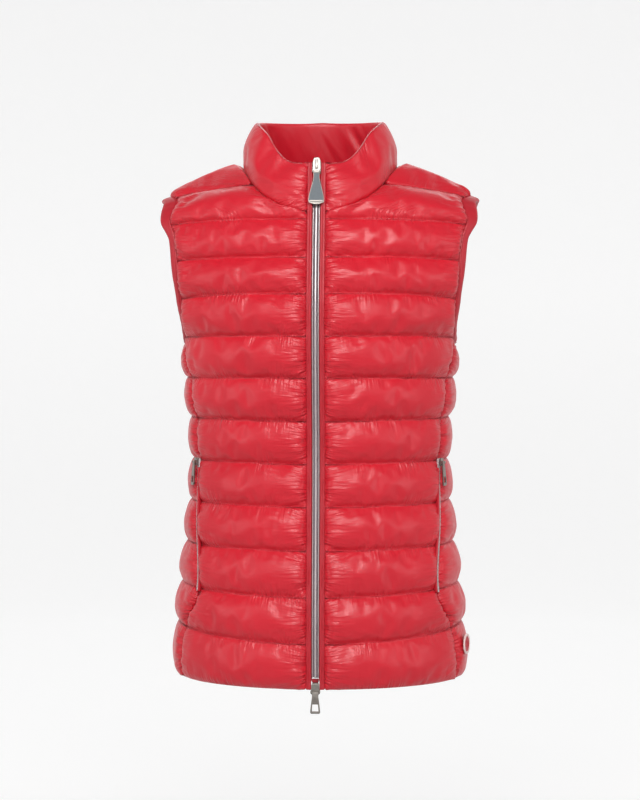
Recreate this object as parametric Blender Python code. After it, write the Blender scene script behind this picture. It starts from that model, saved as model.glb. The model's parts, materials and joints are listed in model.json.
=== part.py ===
"""Quilted puffer vest with a stand collar and a two-way front zip.

Frame: +Z up, the front faces -Y, the wearer's left is +X.
The origin is midway between the points where the neck meets the shoulders.
Every piece of cloth lies on one surface, the stitch surface, which torso_point gives from an
angle about the body and a row of quilting. Measures are in millimetres, and MM makes them metres.
"""

import bmesh
import bpy
from math import cos, degrees, pi, radians, sin, sqrt
from mathutils import Matrix, Vector

MM = 0.001
SEAM_GAP = 0.4

# ---------------------------------------------------------------- driving tables

# The stitch surface's level rings, hem to bust. The two highest reach out past the armholes.
FIGURE_RINGS = (
    # height, half_width, front_depth, back_depth
    (-603, 170.0, 114, 114),
    (-528, 168.0, 115, 116),
    (-430, 157.0, 107, 101),
    (-337, 151.0, 100, 91),
    (-243, 159.0, 112, 97),
    (-200, 163.0, 116, 103),
    (-157, 184.0, 114, 106),
    (-113, 202.0, 105, 106),
    (-60, 203.0, 93, 98),
)

# The quilting seams, hem up. side_rise is how far a seam climbs from the centre to the side.
QUILT_ROWS = (
    # name, centre_height, side_rise
    ("hem", -603.0, 1),
    ("hip", -550.5, 13),
    ("low_pocket", -498.0, 7),
    ("mid_pocket", -445.5, 3),
    ("high_pocket", -396.0, 3),
    ("waist", -347.0, 3),
    ("ribs", -297.5, 3),
    ("under_bust", -248.0, 0),
    ("bust", -200.0, 0),
    ("low_armhole", -151.5, -6),
    ("mid_armhole", -109.5, -3),
    ("shoulder_blade", -65.0, -6),
)

# The seam between the front and the side panel leans forward at the pocket.
SIDE_SEAMS = (
    # height, front_angle, back_angle
    (-603, 71.5, 112),
    (-540, 66.5, 113),
    (-498, 57.0, 114),
    (-415, 64.0, 115),
    (-345, 67.5, 114),
    (-248, 71.0, 112),
    (-204, 79.0, 108),
)

# The collar's top edge dips at the front, where the zip ends.
COLLAR_TOP = (
    # angle, height
    (0, 1),
    (25, 3),
    (41, 19),
    (56, 41),
    (90, 57),
    (180, 65),
)

# ---------------------------------------------------------------- single sizes

TOP_ROW = len(QUILT_ROWS) - 1
RIDGE_ROW = TOP_ROW + 2

SHOULDER_CREST = 28.3
SHOULDER_SLOPE = 0.42
SHOULDER_ROUND = 40.0
FRONT_SHOULDER_POWER = 1.54
BACK_SHOULDER_POWER = 1.0

NECK_FRONT_HEIGHT = -57.0
NECK_BACK_HEIGHT = -10.0
NECK_SIDE_ANGLE = 27.0

SHOULDER_SEAM_NECK_TURN = 45.0
SHOULDER_SEAM_TIP_TURN = 64.0

# The back's yoke seam, from the armhole (share 0) to the centre back (share 0.5).
YOKE_SEAM = (
    # share, row
    (0.0, 12.35),
    (0.1, 12.0),
    (0.26, 11.68),
    (0.5, 11.5),
)

OPENING_LOOP = {"centre": -118.5, "half_height": 82.0, "front_depth": 55.0, "back_depth": 60.0}
STITCH_LOOP = {"centre": -120.7, "half_height": 88.3, "front_depth": 61.0, "back_depth": 66.0}

WALL = 3.0
FRONT_LOFT = 12.0
SIDE_LOFT = 8.0
LINING_LOFT = 4.0
CROWN_SAG = 0.85
CROWN_ROUND = 0.7
EDGE_FRACTION = 0.1
NECK_SOFTENING = 0.45
NECK_CORNER_SHARE = 0.26
NECK_BOW = 5.0
NECK_BOW_REACH = 0.13

COLLAR_HALF_WIDTH = 76.0
COLLAR_FRONT_DEPTH = 78.0
COLLAR_BACK_DEPTH = 66.0
COLLAR_WALL = 4.0
COLLAR_LOFT = 6.0

ZIP_BINDING_INNER = 5.3
ZIP_BINDING_OUTER = 10.0
PANEL_START = 10.4

# The shoulder seam's gap, in rows.
SHOULDER_SEAM_GAP = 0.006

# ---------------------------------------------------------------- arithmetic


def between(start, end, share):
    return start + (end - start) * share


def smooth_column(table, column, key):
    """A column of a table, read at a key in its first column along a smooth cubic curve."""
    keys = [row[0] for row in table]
    values = [row[column] for row in table]
    key = min(max(key, keys[0]), keys[-1])
    upper = next(i for i in range(1, len(keys)) if key <= keys[i])
    lower = upper - 1
    span = keys[upper] - keys[lower]

    def slope(i):
        before = max(i - 1, 0)
        after = min(i + 1, len(keys) - 1)
        return (values[after] - values[before]) / (keys[after] - keys[before]) * span

    t = (key - keys[lower]) / span
    return (
        values[lower] * (1 + 2 * t) * (1 - t) ** 2
        + slope(lower) * t * (1 - t) ** 2
        + values[upper] * t * t * (3 - 2 * t)
        - slope(upper) * t * t * (1 - t)
    )


def find_root(value_at, low, high):
    """Where value_at changes sign between low and high, by halving."""
    low_is_positive = value_at(low) > 0
    for _ in range(40):
        middle = (low + high) / 2
        if (value_at(middle) > 0) == low_is_positive:
            low = middle
        else:
            high = middle
    return (low + high) / 2


# ---------------------------------------------------------------- the stitch surface


def seam_height(row, angle):
    lower = min(int(row), TOP_ROW - 1)
    share = row - lower
    centre = between(QUILT_ROWS[lower][1], QUILT_ROWS[lower + 1][1], share)
    rise = between(QUILT_ROWS[lower][2], QUILT_ROWS[lower + 1][2], share)
    return centre + rise * abs(sin(angle)) ** 3


def ring_sizes(height, angle):
    depth_column = 2 if cos(angle) > 0 else 3
    return smooth_column(FIGURE_RINGS, 1, height), smooth_column(FIGURE_RINGS, depth_column, height)


def crest_height(x):
    """The crown of the shoulder, which falls from the neck to the tip."""
    return SHOULDER_CREST - SHOULDER_SLOPE * (sqrt(x * x + SHOULDER_ROUND**2) - SHOULDER_ROUND)


def torso_point(angle, row):
    """The stitch surface. Angle is 0 at the centre front and 90 degrees at the wearer's left.

    Row counts the quilting seams from the hem. Above the last seam the surface turns over the
    shoulder, reaches the ridge at RIDGE_ROW, and comes down on the other side.
    """
    if row > RIDGE_ROW:
        return torso_point(pi - angle, 2 * RIDGE_ROW - row)
    height = seam_height(min(row, TOP_ROW), angle)
    half_width, depth = ring_sizes(height, angle)
    x = half_width * sin(angle)
    y = -depth * cos(angle)
    if row <= TOP_ROW:
        return Vector((x, y, height))
    turn = (row - TOP_ROW) / (RIDGE_ROW - TOP_ROW) * pi / 2
    power = FRONT_SHOULDER_POWER if cos(angle) > 0 else BACK_SHOULDER_POWER
    lift = sin(turn) ** power
    reach = max(cos(turn), 0.0) ** power
    return Vector((x, y * reach, between(height, crest_height(x), lift)))


def outward(angle, row):
    step = 0.02
    across = torso_point(angle + step, row) - torso_point(angle - step, row)
    up = torso_point(angle, row + step * 3) - torso_point(angle, max(row - step * 3, 0))
    return across.cross(up).normalized()


def on_torso(angle, row, offset):
    return torso_point(angle, row) + outward(angle, row) * offset


def turn_row(turn):
    """The row at which the surface has turned by so many degrees over the shoulder."""
    return TOP_ROW + (RIDGE_ROW - TOP_ROW) * turn / 90


# ---------------------------------------------------------------- edges of the panels


def centre_front_angle(row):
    return find_root(lambda angle: torso_point(angle, row).x - PANEL_START, 0.0, radians(30))


def armhole_angle(loop, row, towards_front):
    """Where a row of the stitch surface meets an armhole loop, an ellipse seen from the side."""
    depth = loop["front_depth"] if towards_front else loop["back_depth"]

    def outside(angle):
        point = torso_point(angle, row)
        return (point.y / depth) ** 2 + ((point.z - loop["centre"]) / loop["half_height"]) ** 2 - 1

    far = radians(8) if towards_front else radians(172)
    if outside(pi / 2) > 0:
        return pi / 2
    return find_root(outside, far, pi / 2)


def side_seam_angle(row, column):
    height = seam_height(min(row, TOP_ROW), radians(70))
    return radians(smooth_column(SIDE_SEAMS, column, height))


def front_edge_angle(row):
    return min(side_seam_angle(row, 1), armhole_angle(STITCH_LOOP, row, True))


def back_edge_angle(row):
    return max(side_seam_angle(row, 2), armhole_angle(STITCH_LOOP, row, False))


def gap_angle(row):
    """Half of the seam gap, as an angle about the body."""
    angle = pi / 2
    step = (torso_point(angle + 0.01, min(row, TOP_ROW)) - torso_point(angle, min(row, TOP_ROW))).length
    return 0.01 * SEAM_GAP / 2 / step


def neck_turn(height, angle):
    """How far over the shoulder, in degrees, the surface at this angle reaches a height."""
    return find_root(lambda turn: torso_point(angle, turn_row(turn)).z - height, 0.0, 90.0)


NECK_FRONT_TURN = neck_turn(NECK_FRONT_HEIGHT, 0.0)
NECK_BACK_TURN = neck_turn(NECK_BACK_HEIGHT, pi)


def neck_chart(around):
    """The neck seam on the stitch surface: around is 0 at the centre front and pi at the back."""
    start_turn = NECK_FRONT_TURN if cos(around) > 0 else NECK_BACK_TURN
    from_centre = radians(NECK_SIDE_ANGLE) * sin(around)
    turn = 90 - (90 - start_turn) * abs(cos(around))
    if cos(around) > 0:
        return from_centre, turn_row(turn)
    return pi - from_centre, turn_row(turn)


NECK_START = find_root(
    lambda around: torso_point(*neck_chart(around)).x - PANEL_START, 0.0, radians(60)
)
SHOULDER_SEAM_NECK = find_root(
    lambda around: neck_chart(around)[1] - turn_row(SHOULDER_SEAM_NECK_TURN), 0.0, radians(89)
)
SHOULDER_SEAM_ANGLE = neck_chart(SHOULDER_SEAM_NECK)[0]
SHOULDER_TIP_ROW = turn_row(SHOULDER_SEAM_TIP_TURN)
SHOULDER_TIP_ANGLE = armhole_angle(STITCH_LOOP, SHOULDER_TIP_ROW, True)


def shoulder_seam(share):
    """The seam in front of the shoulder ridge, from the neck (0) to the armhole (1)."""
    angle = between(SHOULDER_SEAM_ANGLE, SHOULDER_TIP_ANGLE, share)
    return angle, between(turn_row(SHOULDER_SEAM_NECK_TURN), SHOULDER_TIP_ROW, share)


# ---------------------------------------------------------------- quilting


def crown(share):
    """How full the quilting is between two seams: 0 at a seam, 1 at the crown, which sags a little."""
    share = min(max(share, 0.0), 1.0)
    return sin(pi * share**CROWN_SAG) ** CROWN_ROUND if 0 < share < 1 else 0.0


def edge_ease(share):
    """Falls to 0 along a panel's two upright edges."""
    from_edge = min(share, 1 - share) / EDGE_FRACTION
    return sqrt(1 - (1 - min(from_edge, 1)) ** 2)


def loft_at(angle):
    return between(FRONT_LOFT, SIDE_LOFT, abs(sin(angle)) ** 6)


def quilted_offset(angle, fullness, layer):
    if layer:
        return loft_at(angle) * fullness
    return -WALL - LINING_LOFT * fullness


# ---------------------------------------------------------------- building helpers


def clear_scene():
    for thing in list(bpy.data.objects):
        bpy.data.objects.remove(thing, do_unlink=True)


def make_collection(name):
    collection = bpy.data.collections.new(name)
    bpy.context.scene.collection.children.link(collection)
    return collection


def make_material(name, colour, roughness, metallic=0.0):
    material = bpy.data.materials.new(name)
    material.use_nodes = True
    surface = material.node_tree.nodes["Principled BSDF"]
    surface.inputs["Base Color"].default_value = (*colour, 1.0)
    surface.inputs["Roughness"].default_value = roughness
    surface.inputs["Metallic"].default_value = metallic
    return material


def finish_mesh(name, bm, material):
    bmesh.ops.recalc_face_normals(bm, faces=bm.faces)
    if bm.calc_volume(signed=True) < 0:
        bmesh.ops.reverse_faces(bm, faces=bm.faces)
    mesh = bpy.data.meshes.new(name)
    bm.to_mesh(mesh)
    bm.free()
    mesh.materials.append(material)
    mesh.shade_smooth()
    mesh.set_sharp_from_angle(angle=radians(40))
    piece = bpy.data.objects.new(name, mesh)
    VEST.objects.link(piece)
    return piece


def flat_grid(columns, rows):
    bm = bmesh.new()
    bmesh.ops.create_grid(bm, x_segments=columns, y_segments=rows, size=0.5)
    return bm


def bent_slab(name, columns, rows, shape, material):
    """A slab one cell thick, bent so that shape(column, row, layer) gives each of its corners."""
    bm = flat_grid(columns, rows)
    lifted = bmesh.ops.extrude_face_region(bm, geom=bm.faces[:])["geom"]
    raised = [part for part in lifted if isinstance(part, bmesh.types.BMVert)]
    bmesh.ops.translate(bm, vec=(0, 0, 1), verts=raised)
    for vert in bm.verts:
        column = round((vert.co.x + 0.5) * columns)
        row = round((vert.co.y + 0.5) * rows)
        vert.co = shape(column, row, round(vert.co.z)) * MM
    return finish_mesh(name, bm, material)


def closed_loop_strip(name, around, corners, shape, material):
    """A strip whose length and section both close on themselves: shape(share, corner) is a corner."""
    bm = flat_grid(around, corners)
    for vert in bm.verts:
        step = round((vert.co.x + 0.5) * around) % around
        corner = round((vert.co.y + 0.5) * corners) % corners
        vert.co = shape(step / around, corner) * MM
    bmesh.ops.remove_doubles(bm, verts=bm.verts, dist=1e-6)
    return finish_mesh(name, bm, material)


def mirrored(side, point):
    return Vector((point.x * side, point.y, point.z))


# ---------------------------------------------------------------- fronts

ROW_STEPS = 4
ROW_STOPS = (0.0, 0.2, 0.5, 0.82)
FRONT_COLUMNS = (0.0, 0.1, 0.37, 0.63, 0.9, 1.0)
YOKE_STEPS = 6


def front_chart(across, row_index):
    """Where a front's corner lies: its angle, row, and how full its baffle is there."""
    body_steps = TOP_ROW * ROW_STEPS
    if row_index <= body_steps:
        baffle, stop = divmod(row_index, ROW_STEPS)
        row = baffle + ROW_STOPS[stop]
        start = centre_front_angle(row)
        angle = between(start, front_edge_angle(row) - gap_angle(row), across)
        return angle, row, crown(ROW_STOPS[stop])
    climb = (row_index - body_steps) / YOKE_STEPS
    neck_share = (row_index - body_steps - 1) / (YOKE_STEPS - 1)
    neck_angle, neck_row = neck_chart(between(NECK_START, SHOULDER_SEAM_NECK, neck_share))
    edge_row = between(TOP_ROW, SHOULDER_TIP_ROW, climb)
    row = between(neck_row, edge_row, across)
    angle = between(neck_angle, armhole_angle(STITCH_LOOP, edge_row, True), across)
    return angle, row - SHOULDER_SEAM_GAP * climb, crown(climb)


def build_front(side, name):
    def shape(column, row_index, layer):
        across = FRONT_COLUMNS[column]
        angle, row, fullness = front_chart(across, row_index)
        offset = quilted_offset(angle, fullness * edge_ease(across), layer)
        return mirrored(side, on_torso(angle, row, offset))

    rows = TOP_ROW * ROW_STEPS + YOKE_STEPS
    return bent_slab(name, len(FRONT_COLUMNS) - 1, rows, shape, NYLON)


# ---------------------------------------------------------------- side panels

SIDE_COLUMNS = (0.0, 0.14, 0.5, 0.86, 1.0)
SIDE_TOP_ROW = 8


def side_top_row(angle):
    """The row at which the side panel meets the bottom of the armhole."""
    if armhole_angle(STITCH_LOOP, SIDE_TOP_ROW, True) > angle and angle < pi / 2:
        return SIDE_TOP_ROW
    depth = STITCH_LOOP["front_depth"] if angle < pi / 2 else STITCH_LOOP["back_depth"]
    share = torso_point(angle, SIDE_TOP_ROW).y / depth
    height = STITCH_LOOP["centre"] - STITCH_LOOP["half_height"] * sqrt(1 - share * share)
    return find_root(lambda row: torso_point(angle, row).z - height, SIDE_TOP_ROW - 1, SIDE_TOP_ROW)


def build_side(side, name):
    def shape(column, row_index, layer):
        across = SIDE_COLUMNS[column]
        baffle, stop = divmod(row_index, ROW_STEPS)
        row = baffle + ROW_STOPS[stop]
        for _ in range(2):
            low = side_seam_angle(row, 1) + gap_angle(row)
            high = side_seam_angle(row, 2) - gap_angle(row)
            angle = between(low, high, across)
            if baffle >= SIDE_TOP_ROW - 1:
                share = 1.0 if baffle == SIDE_TOP_ROW else ROW_STOPS[stop]
                row = between(SIDE_TOP_ROW - 1, side_top_row(angle), share)
        offset = quilted_offset(angle, crown(ROW_STOPS[stop]) * edge_ease(across), layer)
        return mirrored(side, on_torso(angle, row, offset))

    return bent_slab(name, len(SIDE_COLUMNS) - 1, SIDE_TOP_ROW * ROW_STEPS, shape, NYLON)


# ---------------------------------------------------------------- back

SHOULDER_STEPS = len(FRONT_COLUMNS) - 1
NECK_STEPS = 10
BACK_COLUMNS = 2 * SHOULDER_STEPS + NECK_STEPS
BACK_YOKE_STEPS = 8


def back_share(column):
    """The share of the back's width at a column, closer together near the seams."""
    mirrored_column = min(column, BACK_COLUMNS - column)
    if mirrored_column <= SHOULDER_STEPS:
        share = NECK_CORNER_SHARE * (1 - FRONT_COLUMNS[SHOULDER_STEPS - mirrored_column])
    else:
        share = between(NECK_CORNER_SHARE, 0.5, (mirrored_column - SHOULDER_STEPS) * 2 / NECK_STEPS)
    return share if column * 2 <= BACK_COLUMNS else 1 - share


def back_top_chart(column):
    """The back's top edge: over the shoulder to its seam in front, and round the neck between."""
    over_front = 2 * RIDGE_ROW
    if column <= SHOULDER_STEPS:
        angle, row = shoulder_seam(FRONT_COLUMNS[SHOULDER_STEPS - column])
        return pi - angle, over_front - row - SHOULDER_SEAM_GAP
    if column >= BACK_COLUMNS - SHOULDER_STEPS:
        angle, row = back_top_chart(BACK_COLUMNS - column)
        return 2 * pi - angle, row
    share = (column - SHOULDER_STEPS) / NECK_STEPS
    around = between(SHOULDER_SEAM_NECK, 2 * pi - SHOULDER_SEAM_NECK, share)
    angle, row = neck_chart(min(around, 2 * pi - around))
    if cos(around) > 0:
        angle, row = pi - angle, over_front - row
    return (angle, row) if around <= pi else (2 * pi - angle, row)


def back_yoke_row(share, top_row, climb):
    """The row of a point above the last straight seam: up to the yoke seam, then to the top edge."""
    yoke_row = smooth_column(YOKE_SEAM, 1, min(share, 1 - share))
    if climb < 0.5:
        return between(TOP_ROW, yoke_row, climb * 2)
    return between(yoke_row, top_row, climb * 2 - 1)


def back_edge_angle_over(row):
    """The armhole edge of the back, which carries on over the shoulder ridge."""
    if row <= RIDGE_ROW:
        return armhole_angle(STITCH_LOOP, row, False)
    return pi - armhole_angle(STITCH_LOOP, 2 * RIDGE_ROW - row, True)


def neck_bow(share):
    """How far a column swings out round the base of the neck, on its way over the shoulder."""
    nearness = max(1 - abs(min(share, 1 - share) - NECK_CORNER_SHARE) / NECK_BOW_REACH, 0)
    return radians(NECK_BOW) * nearness * (1 if share < 0.5 else -1)


def back_chart(column, row_index):
    share = back_share(column)
    body_steps = TOP_ROW * ROW_STEPS
    if row_index <= body_steps:
        baffle, stop = divmod(row_index, ROW_STEPS)
        row = baffle + ROW_STOPS[stop]
        edge = back_edge_angle(row) + gap_angle(row)
        return between(edge, 2 * pi - edge, share), row, crown(ROW_STOPS[stop])
    climb = (row_index - body_steps) / BACK_YOKE_STEPS
    top_angle, top_row = back_top_chart(column)
    high_edge, high_row = back_top_chart(0)
    low_edge = back_edge_angle_over(TOP_ROW)
    edge_bow = back_edge_angle_over(back_yoke_row(0, high_row, climb)) - between(low_edge, high_edge, climb)
    low_angle = between(low_edge, 2 * pi - low_edge, share)
    angle = between(low_angle, top_angle, climb) + edge_bow * (1 - 2 * share)
    angle -= neck_bow(share) * sin(pi * max(climb * 2 - 1, 0))
    beside_neck = SHOULDER_STEPS <= column <= BACK_COLUMNS - SHOULDER_STEPS and climb > 0.5
    fullness = crown(climb * 2 % 1.0) * (NECK_SOFTENING if beside_neck else 1.0)
    return angle, back_yoke_row(share, top_row, climb), fullness


def build_back(name):
    def shape(column, row_index, layer):
        angle, row, fullness = back_chart(column, row_index)
        share = back_share(column)
        offset = quilted_offset(angle, fullness * edge_ease(share), layer)
        return on_torso(angle, row, offset)

    rows = TOP_ROW * ROW_STEPS + BACK_YOKE_STEPS
    return bent_slab(name, BACK_COLUMNS, rows, shape, NYLON)


# ---------------------------------------------------------------- collar

COLLAR_STEPS = 5


def collar_around(column):
    """The collar's columns meet those of the fronts and the back along the neck seam."""
    neck_columns = NECK_STEPS
    front_columns = YOKE_STEPS - 1
    if column <= front_columns:
        return between(NECK_START, SHOULDER_SEAM_NECK, column / front_columns)
    if column >= front_columns + neck_columns:
        return 2 * pi - collar_around(2 * front_columns + neck_columns - column)
    share = (column - front_columns) / neck_columns
    return between(SHOULDER_SEAM_NECK, 2 * pi - SHOULDER_SEAM_NECK, share)


def neck_point(around):
    """The neck seam and the stitch surface's outward direction there."""
    folded = min(around, 2 * pi - around)
    side = 1 if around <= pi else -1
    angle, row = neck_chart(folded)
    return mirrored(side, torso_point(angle, row)), mirrored(side, outward(angle, row))


def collar_top_point(around):
    folded = min(around, 2 * pi - around)
    height = smooth_column(COLLAR_TOP, 1, degrees(folded))
    depth = COLLAR_FRONT_DEPTH if cos(around) > 0 else COLLAR_BACK_DEPTH
    return Vector((COLLAR_HALF_WIDTH * sin(around), -depth * cos(around), height))


def collar_outward(around):
    return Vector((sin(around), -cos(around), 0.0)).normalized()


def build_collar(name):
    columns = 2 * (YOKE_STEPS - 1) + NECK_STEPS

    def shape(column, row_index, layer):
        around = collar_around(column)
        climb = row_index / COLLAR_STEPS
        base, base_out = neck_point(around)
        top = collar_top_point(around)
        if column in (0, columns):
            side = 1 if column == 0 else -1
            top.x = PANEL_START * side
            base.x = PANEL_START * side
        lean = (top - base).normalized()
        start = base + lean * SEAM_GAP
        spine = start + (top - start) * climb
        fullness = 0.0 if column in (0, columns) else sin(pi * climb)
        out = base_out.lerp(collar_outward(around), min(climb * 2, 1)).normalized()
        if column in (0, columns):
            out = Vector((0, out.y, out.z)).normalized()
        if layer:
            return spine + out * COLLAR_LOFT * fullness
        return spine - out * (between(WALL, COLLAR_WALL, climb) + COLLAR_LOFT * 0.5 * fullness)

    return bent_slab(name, columns, COLLAR_STEPS, shape, NYLON)


# ---------------------------------------------------------------- armhole bindings

BINDING_STEPS = 32
BINDING_THICKNESS = 3.0
BINDING_GAP = 1.4
BINDING_CURL = 2.4
BINDING_LIFT = 0.6


def loop_point(loop, turn):
    """A point of an armhole loop on the stitch surface, and the outward direction there.

    turn is 0 at the top of the shoulder and grows over the front. The loop is an ellipse seen from
    the side, so the row is found along which the stitch surface passes through the point.
    """
    towards_front = sin(turn) > 0
    depth = loop["front_depth"] if towards_front else loop["back_depth"]
    y = -depth * sin(turn)
    z = loop["centre"] + loop["half_height"] * cos(turn)

    def angle_at(row):
        def too_deep(angle):
            return abs(torso_point(angle, row).y) - abs(y)

        far = radians(5) if towards_front else radians(175)
        return find_root(too_deep, far, pi / 2) if too_deep(far) > 0 else far

    def height_error(row):
        return torso_point(angle_at(row), row).z - z

    row = find_root(height_error, SIDE_TOP_ROW - 2, RIDGE_ROW - 0.001)
    angle = angle_at(row)
    return torso_point(angle, row), outward(angle, row)


def build_armhole_binding(side, name):
    def shape(share, corner):
        turn = 2 * pi * (share + 0.5 / BINDING_STEPS)
        stitch, stitch_out = loop_point(STITCH_LOOP, turn)
        opening, opening_out = loop_point(OPENING_LOOP, turn)
        towards_hole = (opening - stitch).normalized()
        if corner == 0:
            point = stitch + towards_hole * BINDING_GAP - stitch_out * BINDING_THICKNESS
        elif corner == 1:
            point = stitch + towards_hole * BINDING_GAP
        elif corner == 2:
            point = opening + opening_out * (BINDING_LIFT - BINDING_CURL)
        else:
            point = opening - opening_out * (BINDING_THICKNESS + BINDING_LIFT + BINDING_CURL)
        return mirrored(side, point)

    return closed_loop_strip(name, BINDING_STEPS, 4, shape, NYLON)


# ---------------------------------------------------------------- front zip

PLACKET_STOPS = 26
HEM_HEIGHT = QUILT_ROWS[0][1]
COLLAR_FRONT_TOP = COLLAR_TOP[0][1]
CHAIN_HALF_WIDTH = 4.0
CHAIN_BOTTOM = -590.0
CHAIN_TOP = -18.0
STOP_BOTTOM = -595.0
STRIP_GAP = 0.4

# How far each strip reaches below and above the stitch surface.
BINDING_LAYERS = (-1.5, 1.6)
TAPE_LAYERS = (-3.2, -2.2)
CHAIN_LAYERS = (-3.6, -0.6)
STOP_LAYERS = (-3.6, 0.4)


def placket_depth(height):
    """How far forward the centre front is: the panels up to the neck, then the leaning collar."""
    neck_depth = -torso_point(*neck_chart(0.0)).y
    if height <= QUILT_ROWS[TOP_ROW][1]:
        return smooth_column(FIGURE_RINGS, 2, height)
    if height <= NECK_FRONT_HEIGHT:
        start = smooth_column(FIGURE_RINGS, 2, QUILT_ROWS[TOP_ROW][1])
        share = (height - QUILT_ROWS[TOP_ROW][1]) / (NECK_FRONT_HEIGHT - QUILT_ROWS[TOP_ROW][1])
        return between(start, neck_depth, share)
    share = (height - NECK_FRONT_HEIGHT) / (COLLAR_FRONT_TOP - NECK_FRONT_HEIGHT)
    return between(neck_depth, COLLAR_FRONT_DEPTH, share)


def placket_frame(height):
    """Axes at the centre front: across to the wearer's left, down along the zip, and outward."""
    step = 4.0
    above = Vector((0, -placket_depth(height + step), height + step))
    below = Vector((0, -placket_depth(height - step), height - step))
    down = (below - above).normalized()
    outwards = down.cross(Vector((1, 0, 0))).normalized()
    if outwards.y > 0:
        outwards.negate()
    return Vector((0, -placket_depth(height), height)), down, outwards


def build_strip(name, left, right, bottom, top, layers, stops, material):
    """A flat strip that follows the centre front between two heights."""

    def shape(column, row_index, layer):
        height = between(bottom, top, row_index / stops)
        point, _, outwards = placket_frame(height)
        across = right if column else left
        return point + Vector((across, 0, 0)) + outwards * layers[layer]

    return bent_slab(name, 1, stops, shape, material)


def build_front_zip():
    for side, name in SIDES:
        edges = sorted((side * ZIP_BINDING_INNER, side * ZIP_BINDING_OUTER))
        build_strip(
            f"zip_binding_{name}", *edges, HEM_HEIGHT, COLLAR_FRONT_TOP, BINDING_LAYERS, PLACKET_STOPS, NYLON
        )
        edges = sorted((side * (CHAIN_HALF_WIDTH + STRIP_GAP), side * ZIP_BINDING_OUTER))
        build_strip(
            f"zip_tape_{name}", *edges, STOP_BOTTOM, CHAIN_TOP, TAPE_LAYERS, PLACKET_STOPS, TAPE
        )
    chain_edges = (-CHAIN_HALF_WIDTH, CHAIN_HALF_WIDTH)
    build_strip("zip_chain", *chain_edges, CHAIN_BOTTOM, CHAIN_TOP, CHAIN_LAYERS, PLACKET_STOPS, TEETH)
    build_strip("zip_stop", *chain_edges, STOP_BOTTOM, CHAIN_BOTTOM - STRIP_GAP, STOP_LAYERS, 1, TAPE)


# ---------------------------------------------------------------- sliders and pulls


def plate_outline(sections):
    """Left and right outline of a plate from sections of (distance down, half width)."""
    right = [(half, down) for down, half in sections]
    return right + [(-across, down) for across, down in reversed(right)]


def plate(name, outline, thickness, hole, frame, material, bevel=0.3):
    """A flat plate with rounded edges, laid in a frame, with an optional hole right through."""
    curve = bpy.data.curves.new(name, "CURVE")
    curve.dimensions = "2D"
    curve.fill_mode = "BOTH"
    curve.extrude = thickness / 2 * MM
    for ring in [outline] + ([hole] if hole else []):
        spline = curve.splines.new("POLY")
        spline.points.add(len(ring) - 1)
        spline.use_cyclic_u = True
        for point, (across, down) in zip(spline.points, ring):
            point.co = (across * MM, -down * MM, 0, 1)
    drawn = bpy.data.objects.new(name + "_outline", curve)
    VEST.objects.link(drawn)
    bpy.context.view_layer.update()
    evaluated = drawn.evaluated_get(bpy.context.evaluated_depsgraph_get())
    mesh = bpy.data.meshes.new_from_object(evaluated)
    bpy.data.objects.remove(drawn, do_unlink=True)
    bm = bmesh.new()
    bm.from_mesh(mesh)
    bpy.data.meshes.remove(mesh)
    bmesh.ops.remove_doubles(bm, verts=bm.verts, dist=1e-6)
    bmesh.ops.dissolve_limit(bm, angle_limit=radians(1), verts=bm.verts, edges=bm.edges)
    rim = [edge for edge in bm.edges if edge.calc_face_angle(0) > radians(60)]
    bmesh.ops.bevel(bm, geom=rim, offset=bevel * MM, segments=1, affect="EDGES")
    piece = finish_mesh(name, bm, material)
    piece.matrix_world = frame
    return piece


def hardware_frame(origin, down, outwards):
    """A matrix whose Y axis points up along the zip and whose Z axis points out of the cloth."""
    across = (-down).cross(outwards).normalized()
    matrix = Matrix((across, -down, outwards)).transposed().to_4x4()
    matrix.translation = origin * MM
    return matrix


# Each slider: half widths at distances down from its top, along the zip.
TOP_SLIDER_OUTLINE = ((0, 2.2), (1.2, 3.6), (5, 4.7), (15, 5.0), (18, 4.4), (20, 3.2))
BOTTOM_SLIDER_OUTLINE = ((0, 3.4), (2, 4.4), (7.5, 4.6), (9, 5.6), (11.5, 5.6), (13, 3.6))
POCKET_SLIDER_OUTLINE = ((0, 2.4), (1.5, 3.2), (7, 3.4), (9.5, 2.6))

TOP_PULL_OUTLINE = (
    (-0.9, 3.5), (8, 3.5), (11.5, 4.0), (29, 8.2), (35.5, 9.1), (38, 8.6), (39.6, 5.5), (40.2, 2.0)
)
BOTTOM_PULL_OUTLINE = ((-0.9, 3.4), (6, 3.8), (21, 5.7), (23, 5.7), (24.2, 4.6))
BOTTOM_PULL_HOLE = ((13.5, 3.2), (19.5, 4.2), (21, 3.2))
POCKET_PULL_OUTLINE = ((-0.9, 1.5), (2.5, 1.6), (5, 2.5), (24, 3.6), (26.5, 3.6), (27.6, 2.6))
POCKET_PULL_HOLE = ((17, 1.5), (24, 2.1))
POCKET_PULL_TILT = 8.0

BAIL_HEIGHT = 3.2
BAIL_LENGTH = 3.4
CHEEK_WIDTH = 1.0
CHEEK_SINK = 0.5
PULL_THICKNESS = 1.8

# How far a pull's hinge is above its slider's flat top.
PIVOT_RISE = 1.4

# Where each slider's hinge is below its top edge, and how far out its cheeks are.
TOP_BAIL_DOWN = 17.0
BOTTOM_BAIL_DOWN = 10.0
FRONT_BAIL_HALF_WIDTH = 4.4
POCKET_BAIL_DOWN = 5.0
POCKET_BAIL_HALF_WIDTH = 2.7

# The lowest level of each slider above the stitch surface, and its thickness.
TOP_SLIDER_BASE = -2.4
TOP_SLIDER_THICKNESS = 6.4
TOP_SLIDER_TOP = 6.0
TOP_FRAME_DROP = 9.0
BOTTOM_SLIDER_BASE = -4.0
BOTTOM_SLIDER_THICKNESS = 6.0


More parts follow.
